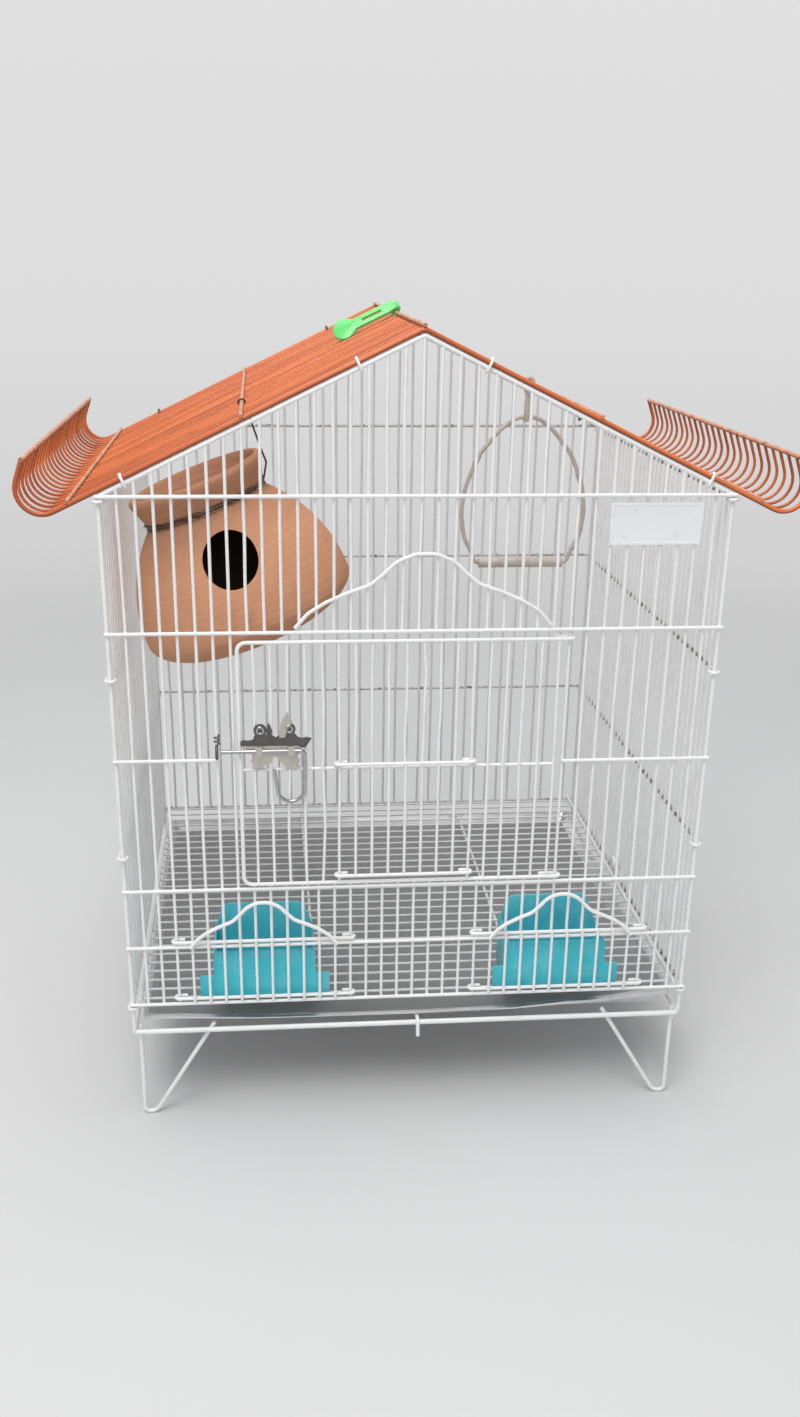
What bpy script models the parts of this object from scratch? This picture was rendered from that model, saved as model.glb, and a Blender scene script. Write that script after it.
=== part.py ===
"""Wire bird cage with a gabled roof, two feeder doors, a hinged door, a swing and a clay pot.

The cage is knocked down into flat welded wire panels. X runs to the right, the front faces -Y,
and the four bent wire feet stand on Z = 0. Sizes are in metres.
"""

import math

import bmesh
import bpy
from mathutils import Matrix, Vector

# Clearances and welds
CLEAR = 0.0003
WELD_BITE = 0.00025
WELD_EVERY = 4
WIRE_END = 0.0005

# Cage body, measured between wire centres
BODY_WIDTH = 0.420
BODY_DEPTH = 0.390
FRONT_GAPS = 36
SIDE_GAPS = 33
FOOT_HEIGHT = 0.075
TRAY_SLOT = 0.0245
FEEDER_OPENING = 0.0475
FEEDER_BAND = 0.046
DOOR_OPENING = 0.1905
DOOR_STUB_RISE = 0.100
HINGE_STUB_DROP = 0.0055
HEAD_BAND = 0.0905
GABLE_RISE = 0.099
SIDE_LOW_RISE = 0.1225
SIDE_HIGH_RISE = 0.2545

# Wire radii
WIRE_R = 0.0011
RAIL_R = 0.0013
BORDER_R = 0.0015
RING_R = 0.0020
FOOT_R = 0.0016
ROOF_BORDER_R = 0.0016
DOOR_R = 0.0014
DOOR_WIRE_R = 0.00105
DOOR_RAIL_R = 0.0012
HANDLE_R = 0.0014
SWING_R = 0.0018

# Places counted in wires from the left corner
LEFT_FEEDER_WIRES = (3, 14)
RIGHT_FEEDER_WIRES = (22, 33)
DOOR_WIRES = (7, 27)
KEEPER_WIRE = 6

# Roof
ROOF_GAPS = 25
EAVE_OVERHANG = 0.029
ROOF_CURL_R = 0.016
ROOF_CURL_TURN = math.radians(135)
ROOF_CURL_BENDS = 4
ROOF_LIP = 0.014
PURLIN_X = 0.116
GUTTER_INSET = 0.010
CLIP_R = 0.0010
CLIP_WIRES = (1.5, 14.5, 21.5, 34.5)

# Floor grid
GRID_GAPS = 27
GRID_FRONT = 0.006
GRID_BACK = 0.005
GRID_WIRE_R = 0.0010
GRID_SUPPORT_R = 0.0012
GRID_SUPPORT_INSETS = (0.138, 0.125)

# Base ring and feet
TRAY_WIRE_R = 0.0015
TRAY_WIRE_X = 0.005
HOOK_DROP = 0.0095
FOOT_LEG_INSET = 0.004
FOOT_TOE_INSET = 0.0035
FOOT_TOE_LENGTH = 0.009
FOOT_SPREAD = 0.056
FOOT_TIP = 0.0040
COLLAR_R = 0.0036
COLLAR_HEIGHT = 0.003

# Tray
TRAY_SIDE_GAP = 0.007
TRAY_FRONT = 0.003
TRAY_BACK = 0.008
TRAY_HEIGHT = 0.0105
TRAY_WALL = 0.0015
TRAY_LIP = 0.003
TRAY_TAPER = 0.007
TRAY_CORNER_R = 0.012

# Main door
DOOR_SIDE_GAP = 0.0043
DOOR_WIRE_COUNT = 19
DOOR_FIRST_WIRE = 0.0075
DOOR_LAST_WIRE = 0.0104
DOOR_FOOT_GAP = 0.004
DOOR_HEAD_GAP = 0.0065
DOOR_RAIL_RISE = 0.088
DOOR_CORNER_R = 0.006
DOOR_HOOK_TAIL = 0.012

# Small sliding door, hooked round two wires of the main door
SMALL_WIRES = (5, 13)
SMALL_FOOT = 0.006
SMALL_HEAD = 0.004
SMALL_TAIL = 0.006

# Latch, its places measured from the left end of its plate
BOLT_R = 0.00135
BOLT_RISE = 0.0075
BOLT_SHORT = 0.0032
BOLT_ELBOW = 0.043
BOLT_DROP = 0.0275
BOLT_TURN_R = 0.010
BOLT_TAIL = (-0.0215, -0.0135)
PLATE_T = 0.001
PLATE_INSET = 0.002
PLATE_WIDTH = 0.048
PLATE_BAR_LOW = 0.0034
PLATE_BAR_TOP = 0.0081
PLATE_WING_DROP = 0.0122
STRAP_PLACES = (0.0113, 0.0335)
STRAP_WIDTH = 0.0044
STRAP_WALL = 0.0009
EAR_R = 0.0045
EAR_HOLE_R = 0.0024
EAR_RISE = 0.0145
KEEPER_R = 0.0010

# Feeder doors and their handles
FEEDER_FOOT = 0.0045
FEEDER_HEAD = 0.004
FEEDER_TAIL = 0.006
HANDLE_RISE = 0.034

# Plastic feeder cups
CUP_WIDTH = 0.076
CUP_DEPTH = 0.046
CUP_LIP_HEIGHT = 0.0370
CUP_BACK_HEIGHT = 0.056
CUP_WALL = 0.0018
CUP_SHOULDER = 0.011
FLANGE_WIDTH = 0.097
FLANGE_HEIGHT = 0.021
FLANGE_T = 0.0022

# Decorative arch wire over the door and the bare sign plate
ARCH_INSET = 0.0287
ARCH_SHIFT = 0.015
ARCH_RISE = 0.050
ARCH_R = 0.0013
SIGN_INSET = 0.020
SIGN_WIDTH = 0.063
SIGN_HEIGHT = 0.028
SIGN_DROP = 0.005
SIGN_T = 0.001

# Swing, hung over the right purlin between two roof ribs
SWING_RIB = 16.5
SWING_STEM_R = 0.0034
SWING_DROP = 0.0275
SWING_STEM_LENGTH = 0.015
SWING_HEIGHT = 0.121
SWING_WIDTH = 0.106
SWING_FOOT_WIDTH = 0.084
PERCH_R = 0.0045
PERCH_SOCKET = 0.010

# Clay pot, hung from the left purlin by a wire tie
POT_RIB = 5.5
POT_INSET = 0.0879
POT_DROP = 0.0776
POT_TILT = math.radians(21.1)
POT_BELLY_R = 0.0787
POT_BELLY_DROP = 0.0151
POT_UPPER_R = 0.0988
POT_UPPER_POWER = 1.28
POT_LOWER_R = 0.0233
POT_LOWER_POWER = 0.71
POT_BASE_CUT = math.radians(-65)
POT_NECK_CUT = math.radians(49)
POT_NECK_R = 0.0445
POT_NECK_RISE = 0.062
POT_RIM_R = 0.050
POT_RIM_RISE = 0.0825
POT_WALL = 0.005
POT_HOLE_R = 0.019
POT_HOLE_SHIFT = -0.0047
POT_HOLE_RISE = 0.0311
POT_SIDES = 24
POT_RINGS = 8
TIE_R = 0.0012
TIE_BENDS = 16

# Small plastic pieces
RIDGE_CLIP_RIB = 12.5
RIDGE_CLIP_LENGTH = 0.041
RIDGE_CLIP_WIDTH = 0.010
RIDGE_CLIP_T = 0.003
RIDGE_CLIP_HEAD_R = 0.0085
RIDGE_CLIP_TURN = math.radians(225)
RIDGE_CLIP_BENDS = 8
KNOB_GAP = 17.5
KNOB_RISE = 0.0105
KNOB_STEM_R = 0.0042
KNOB_HEAD_R = 0.0065
KNOB_HEAD_T = 0.003

# Heights and planes worked out from the sizes above
RING_Z = FOOT_HEIGHT
BOTTOM_Z = RING_Z + TRAY_SLOT
FEEDER_Z = BOTTOM_Z + FEEDER_OPENING
SILL_Z = FEEDER_Z + FEEDER_BAND
STUB_Z = SILL_Z + DOOR_STUB_RISE
HEAD_Z = SILL_Z + DOOR_OPENING
EAVE_Z = HEAD_Z + HEAD_BAND
APEX_Z = EAVE_Z + GABLE_RISE
HALF_W = BODY_WIDTH / 2
PITCH = BODY_WIDTH / FRONT_GAPS
SLOPE = math.atan2(GABLE_RISE, HALF_W)
WIRE_STEP = CLEAR + WELD_BITE
RAIL_OUT = WIRE_R + RAIL_R - WELD_BITE
DEEP_RAIL_OUT = RAIL_OUT - WIRE_STEP
RAIL_STEP = 2 * RAIL_R + 2 * CLEAR
END_PAST = RAIL_R + WIRE_END
HINGE_X = -HALF_W + DOOR_WIRES[1] * PITCH
DOOR_LEFT = -HALF_W + DOOR_WIRES[0] * PITCH + DOOR_SIDE_GAP
DOOR_WIRE_SPAN = HINGE_X - DOOR_FIRST_WIRE - DOOR_LEFT - DOOR_LAST_WIRE
DOOR_PITCH = DOOR_WIRE_SPAN / (DOOR_WIRE_COUNT - 1)
DOOR_Y = -(WIRE_R + CLEAR + DOOR_R)
DOOR_WIRE_FRONT = DOOR_Y - DOOR_WIRE_R
DOOR_FOOT_Z = SILL_Z + DOOR_FOOT_GAP
DOOR_HEAD_Z = HEAD_Z - DOOR_HEAD_GAP
DOOR_RAIL_Z = DOOR_FOOT_Z + DOOR_RAIL_RISE
PLATE_LEFT = DOOR_LEFT + PLATE_INSET
PLATE_BACK = DOOR_WIRE_FRONT - CLEAR
BOLT_Y = PLATE_BACK - PLATE_T - CLEAR - BOLT_R
BOLT_Z = STUB_Z + BOLT_RISE
KEEPER_EYE_R = -BOLT_Y - WIRE_R - CLEAR - KEEPER_R
FRONT_REACH = -BOLT_Y + KEEPER_EYE_R + KEEPER_R
BACK_REACH = RAIL_OUT + RAIL_R
FRONT_Y = -BODY_DEPTH / 2 + (FRONT_REACH - BACK_REACH) / 2
BACK_Y = FRONT_Y + BODY_DEPTH
RIB_PITCH = BODY_DEPTH / ROOF_GAPS
ROOF_LIFT = BORDER_R + ROOF_BORDER_R + CLEAR
RIDGE_Z = APEX_Z + ROOF_LIFT / math.cos(SLOPE)
SLOPE_END = HALF_W + EAVE_OVERHANG
POT_X = -HALF_W + POT_INSET
POT_Y = FRONT_Y + POT_RIB * RIB_PITCH
POT_Z = EAVE_Z - POT_DROP

X = Vector((1, 0, 0))
Y = Vector((0, 1, 0))
Z = Vector((0, 0, 1))


def material(name, color, roughness, metallic=0.0):
    """A Principled material of one plain colour."""
    made = bpy.data.materials.new(name)
    made.use_nodes = True
    shader = made.node_tree.nodes["Principled BSDF"]
    shader.inputs["Base Color"].default_value = (*color, 1.0)
    shader.inputs["Roughness"].default_value = roughness
    shader.inputs["Metallic"].default_value = metallic
    return made


def from_bmesh(shape, name="piece"):
    """Turn a bmesh into an object with its faces pointing out."""
    bmesh.ops.recalc_face_normals(shape, faces=shape.faces)
    mesh = bpy.data.meshes.new(name)
    shape.to_mesh(mesh)
    shape.free()
    made = bpy.data.objects.new(name, mesh)
    bpy.context.collection.objects.link(made)
    return made


def skin(shape, rings, closed=False):
    """Bridge equal rings of points with quads and cap the two ends."""
    loops = [[shape.verts.new(point) for point in ring] for ring in rings]
    count = len(loops[0])
    pairs = list(zip(loops, loops[1:]))
    if closed:
        pairs.append((loops[-1], loops[0]))
    for low, high in pairs:
        for k in range(count):
            shape.faces.new((low[k], low[(k + 1) % count], high[(k + 1) % count], high[k]))
    if not closed:
        shape.faces.new(loops[0])
        shape.faces.new(loops[-1])


def tube_rings(points, radius, up, sides, closed=False):
    """Mitred cross-sections of a round wire along a path, one corner of each pointing along up."""
    points = [Vector(point) for point in points]
    ends = points[1:] + points[:1] if closed else points[1:]
    runs = [(b - a).normalized() for a, b in zip(points, ends)]
    run = runs[0]
    side = run.cross(Vector(up)).normalized()
    lift = side.cross(run)
    rings = []
    for k, point in enumerate(points):
        if closed and k == 0:
            into = runs[-1]
            turned = run.rotation_difference(into)
            a, b = turned @ lift, turned @ side
        else:
            into = runs[k - 1] if k else run
            a, b = lift, side
        out = runs[k] if k < len(runs) else into
        plane = (into + out).normalized()
        ring = []
        for corner in range(sides):
            angle = 2 * math.pi * corner / sides
            offset = radius * (math.cos(angle) * a + math.sin(angle) * b)
            ring.append(point + offset - into * (offset.dot(plane) / into.dot(plane)))
        rings.append(ring)
        if k < len(runs) and not (closed and k == 0):
            turned = into.rotation_difference(out)
            lift, side = turned @ lift, turned @ side
    return rings


def wires(paths, radius, up, sides=4, closed=False):
    """One object of several separate wires of the same radius."""
    shape = bmesh.new()
    for path in paths:
        skin(shape, tube_rings(path, radius, up, sides, closed), closed)
    return from_bmesh(shape)


def bend(centre, radius, start, end, bends, across=X, along=Z):
    """Corner points of a wire bent round a circle, each straight piece touching the circle."""
    step = (end - start) / bends
    reach = radius / math.cos(step / 2)
    points = []
    for k in range(bends):
        angle = start + (k + 0.5) * step
        points.append(Vector(centre) + reach * (math.cos(angle) * across + math.sin(angle) * along))
    return points


def prism(outline, low, high, across=X, along=Z, through=Y):
    """A flat outline pushed through a thickness."""
    shape = bmesh.new()
    rings = []
    for depth in (low, high):
        rings.append([across * u + along * v + through * depth for u, v in outline])
    skin(shape, rings)
    return from_bmesh(shape)


def box(low, high):
    """A square-edged block between two corners."""
    outline = [(low[0], low[2]), (high[0], low[2]), (high[0], high[2]), (low[0], high[2])]
    return prism(outline, low[1], high[1])


def rod(start, end, radius, sides, up=Z):
    """A straight round bar whose flats, not its corners, lie at the stated radius."""
    return wires([[start, end]], radius / math.cos(math.pi / sides), up, sides)


def combine(base, others, operation="UNION"):
    """Join or cut solids with exact Booleans and leave one object."""
    for other in others:
        step = base.modifiers.new("step", "BOOLEAN")
        step.object = other
        step.operation = operation
        step.solver = "EXACT"
        graph = bpy.context.evaluated_depsgraph_get()
        mesh = bpy.data.meshes.new_from_object(base.evaluated_get(graph))
        base.modifiers.clear()
        spent = [base.data, other.data]
        base.data = mesh
        bpy.data.objects.remove(other)
        for old in spent:
            bpy.data.meshes.remove(old)
    return base


def finish(made, name, look, origin=(0, 0, 0), sharp=50):
    """Name a piece, give it its material and put its origin on its joint or seat."""
    made.name = name
    made.data.name = name
    made.data.materials.clear()
    made.data.materials.append(look)
    origin = Vector(origin)
    made.data.transform(Matrix.Translation(-origin))
    made.location = origin
    made.data.shade_smooth()
    made.data.set_sharp_from_angle(angle=math.radians(sharp))
    return made


def wire_x(index):
    """Place of a front or back panel wire, counted from the left corner."""
    return -HALF_W + index * PITCH


def gable_z(x):
    """Centre height of the sloping gable border."""
    return EAVE_Z + GABLE_RISE * (1 - abs(x) / HALF_W)


def roof_point(x, lift=0.0):
    """A point of the roof ribs' centre line on the straight slope, raised square to it."""
    lean = math.copysign(SLOPE, x) if x else 0.0
    base_z = RIDGE_Z - abs(x) * math.tan(SLOPE)
    return Vector((x + lift * math.sin(lean), 0, base_z + lift * math.cos(lean)))


def gable_border(y):
    """Corner posts and gable slopes of a panel, bent from one wire."""
    low = RING_Z + RING_R + CLEAR
    path = [(-HALF_W, y, low), (-HALF_W, y, EAVE_Z), (0, y, APEX_Z), (HALF_W, y, EAVE_Z), (HALF_W, y, low)]
    return wires([path], BORDER_R, Y, 6)


def level_rail(z, y, left=-HALF_W, right=HALF_W):
    """The path of a cross rail, a little past the wires at its ends."""
    return [(left - END_PAST, y, z), (right + END_PAST, y, z)]


def front_uprights():
    """Paths of the front wires, cut away at the door and the two feeder openings."""
    paths = []
    for index in range(1, FRONT_GAPS):
        over_door = DOOR_WIRES[0] < index < DOOR_WIRES[1]
        over_feeder = any(a < index < b for a, b in (LEFT_FEEDER_WIRES, RIGHT_FEEDER_WIRES))
        guide = index in DOOR_WIRES[1:] + LEFT_FEEDER_WIRES + RIGHT_FEEDER_WIRES + (KEEPER_WIRE,)
        held = over_door or over_feeder or guide or index % WELD_EVERY == 0
        x = wire_x(index)
        y = FRONT_Y if held else FRONT_Y + WIRE_STEP
        low = (FEEDER_Z if over_feeder else BOTTOM_Z) - END_PAST
        top = gable_z(x)
        if over_door:
            paths.append([(x, y, low), (x, y, SILL_Z + END_PAST)])
            low = HEAD_Z - END_PAST
        paths.append([(x, y, low), (x, y, top)])
    return paths


def front_panel(look):
    """Front panel: border, rails and uprights welded into one piece."""
    y = FRONT_Y - RAIL_OUT
    rails = [level_rail(z, y) for z in (FEEDER_Z, SILL_Z, HEAD_Z, EAVE_Z)]
    rails.append(level_rail(BOTTOM_Z, FRONT_Y - DEEP_RAIL_OUT))
    rails.append(level_rail(STUB_Z, y, right=wire_x(KEEPER_WIRE)))
    rails.append(level_rail(STUB_Z - HINGE_STUB_DROP, y, left=HINGE_X + END_PAST / 2))
    panel = combine(gable_border(FRONT_Y), [wires(rails, RAIL_R, Z), wires(front_uprights(), WIRE_R, Y)])
    return finish(panel, "front_panel", look, (0, FRONT_Y, BOTTOM_Z))


def back_panel(look):
    """Back panel: like the front, with no openings and its rails behind."""
    y = BACK_Y + RAIL_OUT
    heights = (BOTTOM_Z + SIDE_LOW_RISE, BOTTOM_Z + SIDE_HIGH_RISE, EAVE_Z)
    rails = [level_rail(z, y) for z in heights]
    rails.append(level_rail(BOTTOM_Z, BACK_Y + DEEP_RAIL_OUT))
    uprights = []
    for index in range(1, FRONT_GAPS):
        x = wire_x(index)
        wire_y = BACK_Y if index % WELD_EVERY == 0 else BACK_Y - WIRE_STEP
        uprights.append([(x, wire_y, BOTTOM_Z - END_PAST), (x, wire_y, gable_z(x))])
    panel = combine(gable_border(BACK_Y), [wires(rails, RAIL_R, Z), wires(uprights, WIRE_R, Y)])
    return finish(panel, "back_panel", look, (0, BACK_Y, BOTTOM_Z))


def corner_hook(y, side, inward, z):
    """The end of a side rail, bent round a corner post and back into the cage."""
    hook_r = BORDER_R + CLEAR + RAIL_R
    centre = (side * HALF_W, y, z)
    tail = Vector((side * (HALF_W - hook_r), y + inward * 2 * RAIL_R, z))
    points = bend(centre, hook_r, 0, -math.pi, 4, X * side, Y * inward)
    return points + [tail]


def side_panel(side, name, look):
    """Side panel: uprights on rails whose ends hook round the corner posts."""
    deep_x = side * (HALF_W + DEEP_RAIL_OUT)
    rail_x = side * (HALF_W + RAIL_OUT)
    lows = ((BOTTOM_Z, deep_x), (EAVE_Z, deep_x))
    mids = ((BOTTOM_Z + SIDE_LOW_RISE, rail_x), (BOTTOM_Z + SIDE_HIGH_RISE, rail_x))
    lead = 3 * BORDER_R + 2 * RAIL_R
    rails = []
    for height, x in lows + mids:
        z = height - RAIL_STEP
        path = list(reversed(corner_hook(FRONT_Y, side, 1, z)))
        path += [(x, FRONT_Y + lead, z), (x, BACK_Y - lead, z)]
        path += corner_hook(BACK_Y, side, -1, z)
        rails.append(path)
    uprights = []
    for index in range(1, SIDE_GAPS):
        y = FRONT_Y + index * BODY_DEPTH / SIDE_GAPS
        x = side * (HALF_W if index % WELD_EVERY == 0 else HALF_W - WIRE_STEP)
        low = BOTTOM_Z - RAIL_STEP - END_PAST
        uprights.append([(x, y, low), (x, y, EAVE_Z - RAIL_STEP + END_PAST)])
    panel = combine(wires(rails, RAIL_R, Z), [wires(uprights, WIRE_R, Y)])
    return finish(panel, name, look, (side * HALF_W, 0, BOTTOM_Z))


def roof_profile(y, drop=0.0):
    """One rib: eave lip, rolled eave, slope, ridge and down the other side."""
    half = []
    end = roof_point(SLOPE_END)
    centre = end + ROOF_CURL_R * Vector((math.sin(SLOPE), 0, math.cos(SLOPE)))
    start = -math.pi / 2 - SLOPE
    half += bend(centre, ROOF_CURL_R, start, start + ROOF_CURL_TURN, ROOF_CURL_BENDS)
    half.append(roof_rim())
    right = [Vector((point.x, y, point.z - drop)) for point in half]
    left = [Vector((-point.x, point.y, point.z)) for point in reversed(right)]
    return left + [Vector((0, y, RIDGE_Z - drop))] + right


def roof_rim():
    """Where the ribs end, on the rim wire of the right eave."""
    end = roof_point(SLOPE_END)
    centre = end + ROOF_CURL_R * Vector((math.sin(SLOPE), 0, math.cos(SLOPE)))
    last = -math.pi / 2 - SLOPE + ROOF_CURL_TURN
    point = centre + ROOF_CURL_R * Vector((math.cos(last), 0, math.sin(last)))
    return point + ROOF_LIP * Vector((-math.sin(last), 0, math.cos(last)))


def roof_panel(look):
    """Roof: ribs bent over the ridge with a rolled eave, under lengthwise wires."""
    low, high = FRONT_Y - END_PAST, BACK_Y + END_PAST
    borders = wires([roof_profile(FRONT_Y), roof_profile(BACK_Y)], ROOF_BORDER_R, Y, 4)
    ribs = []
    for index in range(1, ROOF_GAPS):
        drop = 0.0 if index % WELD_EVERY == 0 else WIRE_STEP / math.cos(SLOPE)
        ribs.append(roof_profile(FRONT_Y + index * RIB_PITCH, drop))
    lengths = []
    gutter_x = SLOPE_END - GUTTER_INSET
    for x in (-gutter_x, -PURLIN_X, 0.0, PURLIN_X, gutter_x):
        point = purlin(x)
        lean = math.copysign(SLOPE, x) if x else 0.0
        up = Vector((math.sin(lean), 0, math.cos(lean)))
        lengths.append((Vector((point.x, low, point.z)), Vector((point.x, high, point.z)), RAIL_R, up))
    rim = roof_rim()
    for x in (-rim.x, rim.x):
        lengths.append((Vector((x, low, rim.z)), Vector((x, high, rim.z)), ROOF_BORDER_R, Z))
    shape = bmesh.new()
    for start, end, radius, up in lengths:
        skin(shape, tube_rings([start, end], radius, up, 4))
    long_wires = from_bmesh(shape)
    roof = combine(long_wires, [borders, wires(ribs, WIRE_R, Y)])
    return finish(roof, "roof_panel", look, (0, 0, EAVE_Z))


def purlin(x):
    """Centre of a lengthwise roof wire, lying on the ribs."""
    if x:
        return roof_point(x, RAIL_OUT)
    return Vector((0, 0, RIDGE_Z + RAIL_OUT / math.cos(SLOPE)))


def base_ring(look):
    """Base ring with the wire that carries the middle of the tray."""
    corners = [(-HALF_W, FRONT_Y), (HALF_W, FRONT_Y), (HALF_W, BACK_Y), (-HALF_W, BACK_Y)]
    ring = wires([[(x, y, RING_Z) for x, y in corners]], RING_R, Z, 6, closed=True)
    hook_r = RING_R + TRAY_WIRE_R - WELD_BITE
    path = [(TRAY_WIRE_X, FRONT_Y - hook_r - TRAY_WIRE_R, RING_Z - HOOK_DROP)]
    path += reversed(bend((TRAY_WIRE_X, FRONT_Y, RING_Z), hook_r, math.pi / 2, math.pi, 2, Y, Z))
    path += bend((TRAY_WIRE_X, BACK_Y, RING_Z), hook_r, math.pi / 2, 0, 2, Y, Z)
    path += [(TRAY_WIRE_X, BACK_Y + hook_r, RING_Z - HOOK_DROP / 2)]
    carrier = wires([path], TRAY_WIRE_R, X, 6)
    return finish(combine(ring, [carrier]), "base_ring", look, (0, 0, RING_Z))


def foot(x_side, y_side, name, look):
    """A foot bent from one wire: leg, flat toe and a brace back up to the ring."""
    flat = FOOT_R * math.cos(math.pi / 6)
    edge = FRONT_Y if y_side < 0 else BACK_Y
    y = edge - y_side * (RING_R + FOOT_R + CLEAR)
    top = RING_Z + RING_R + FOOT_R
    leg_x = x_side * (HALF_W - FOOT_LEG_INSET)
    toe_out = HALF_W - FOOT_TOE_INSET
    toe_in = toe_out - FOOT_TOE_LENGTH
    tip_x = HALF_W - FOOT_LEG_INSET - FOOT_SPREAD
    path = [(leg_x, y, top), (leg_x, y, RING_Z / 2)]
    path += [(x_side * toe_out, y, flat), (x_side * toe_in, y, flat)]
    path += [(x_side * tip_x, y, RING_Z + FOOT_TIP)]
    collar_top = RING_Z - RING_R - CLEAR
    ends = [(leg_x, y, collar_top - COLLAR_HEIGHT), (leg_x, y, collar_top)]
    collar = wires([ends], COLLAR_R, Y, 10)
    return finish(combine(wires([path], FOOT_R, Y, 6), [collar]), name, look, (x_side * toe_in, y, 0))


def grid_levels():
    """Centre heights of the grid's side borders, cross wires and supports."""
    border = BOTTOM_Z + RAIL_R + BORDER_R + CLEAR
    cross = border - BORDER_R - GRID_WIRE_R + WELD_BITE + WIRE_STEP
    support = cross - WIRE_STEP - GRID_WIRE_R - GRID_SUPPORT_R + WELD_BITE
    return border, cross, support


def floor_grid(look):
    """Floor grid: cross wires hung under two side wires that lie on the bottom rails."""
    border_z, cross_z, support_z = grid_levels()
    edge_x = HALF_W - PITCH / 2
    rest = DEEP_RAIL_OUT + RAIL_R / 2
    borders = [[(x, FRONT_Y - rest, border_z), (x, BACK_Y + rest, border_z)] for x in (-edge_x, edge_x)]
    first, last = FRONT_Y + GRID_FRONT, BACK_Y - GRID_BACK
    pitch = (last - first) / GRID_GAPS
    past = BORDER_R / 2
    cross = []
    for index in range(GRID_GAPS + 1):
        y = first + index * pitch
        z = cross_z - WIRE_STEP if index % WELD_EVERY == 0 else cross_z
        cross.append([(-edge_x - past, y, z), (edge_x + past, y, z)])
    supports = []
    left_inset, right_inset = GRID_SUPPORT_INSETS
    for x in (-HALF_W + left_inset, HALF_W - right_inset):
        supports.append([(x, first - END_PAST, support_z), (x, last + END_PAST, support_z)])
    shape = bmesh.new()
    for path in borders:
        skin(shape, tube_rings(path, BORDER_R, Z, 4))
    for path in supports:
        skin(shape, tube_rings(path, GRID_SUPPORT_R, Z, 4))
    grid = combine(wires(cross, GRID_WIRE_R, Z), [from_bmesh(shape)])
    return finish(grid, "floor_grid", look, (0, 0, border_z))


def rounded_rectangle(half_x, low_y, high_y, radius, z):
    """Points round a rectangle with corners of three points each."""
    points = []
    corners = ((half_x, high_y, 0), (-half_x, high_y, 1), (-half_x, low_y, 2), (half_x, low_y, 3))
    for x, y, quarter in corners:
        cx = x - math.copysign(radius, x)
        cy = y - radius if y == high_y else y + radius
        for k in range(4):
            angle = (quarter + k / 3) * math.pi / 2
            points.append(Vector((cx + radius * math.cos(angle), cy + radius * math.sin(angle), z)))
    return points


def tray_z():
    """Underside of the tray, just above the wire that carries it."""
    return RING_Z + RING_R + 2 * TRAY_WIRE_R - WELD_BITE + CLEAR


def tray(look):
    """Slide-out tray with sloping walls and a turned-out lip."""
    half = HALF_W - TRAY_SIDE_GAP
    low_y, high_y = FRONT_Y + TRAY_FRONT, BACK_Y - TRAY_BACK
    low, top = tray_z(), tray_z() + TRAY_HEIGHT
    levels = (
        (TRAY_TAPER, low),
        (TRAY_LIP, top - TRAY_LIP),
        (0.0, top - TRAY_LIP),
        (0.0, top),
        (TRAY_LIP + TRAY_WALL, top),
        (TRAY_TAPER + TRAY_WALL, low + TRAY_WALL),
    )
    shape = bmesh.new()
    rings = []
    for inset, z in levels:
        corner = TRAY_CORNER_R - inset
        rings.append(rounded_rectangle(half - inset, low_y + inset, high_y - inset, corner, z))
    skin(shape, rings)
    return finish(from_bmesh(shape), "tray", look, (0, low_y, low))


def round_wire_hook(centre, radius, side, tail, z):
    """A wire end bent back round an upright, ending in a short tail behind it."""
    x, y = centre
    points = bend((x, y, z), radius, -math.pi / 2, math.pi / 2, 4, X * side, Y)
    return points + [Vector((x - side * tail, y + radius, z))]


def main_door(look):
    """Main door: frame hooked round the hinge wire, own uprights and a middle rail."""
    left = DOOR_LEFT
    y = FRONT_Y + DOOR_Y
    hook_r = -DOOR_Y
    top = round_wire_hook((HINGE_X, FRONT_Y), hook_r, 1, DOOR_HOOK_TAIL, DOOR_HEAD_Z)
    foot_end = round_wire_hook((HINGE_X, FRONT_Y), hook_r, 1, DOOR_HOOK_TAIL, DOOR_FOOT_Z)
    r = DOOR_CORNER_R
    path = list(reversed(top))
    path += bend((left + r, y, DOOR_HEAD_Z - r), r, math.pi / 2, math.pi, 2)
    path += bend((left + r, y, DOOR_FOOT_Z + r), r, math.pi, 1.5 * math.pi, 2)
    path += foot_end
    frame = wires([path], DOOR_R, Z, 6)
    rail_y = y + DOOR_WIRE_R + DOOR_RAIL_R - WELD_BITE
    end_x = HINGE_X - DOOR_FIRST_WIRE + END_PAST
    rail = wires([[(left, rail_y, DOOR_RAIL_Z), (end_x, rail_y, DOOR_RAIL_Z)]], DOOR_RAIL_R, Z)
    uprights = []
    for index in range(DOOR_WIRE_COUNT):
        x = door_wire_x(index)
        over_small_door = SMALL_WIRES[0] < index < SMALL_WIRES[1]
        low = DOOR_RAIL_Z - END_PAST if over_small_door else DOOR_FOOT_Z
        uprights.append([(x, y, low), (x, y, DOOR_HEAD_Z)])
    door = combine(frame, [rail, wires(uprights, DOOR_WIRE_R, Y)])
    return finish(door, "main_door", look, (HINGE_X, FRONT_Y, DOOR_FOOT_Z))


def door_wire_x(index):
    """Place of a main door upright, counted from the hinge."""
    return HINGE_X - DOOR_FIRST_WIRE - index * DOOR_PITCH


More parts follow.
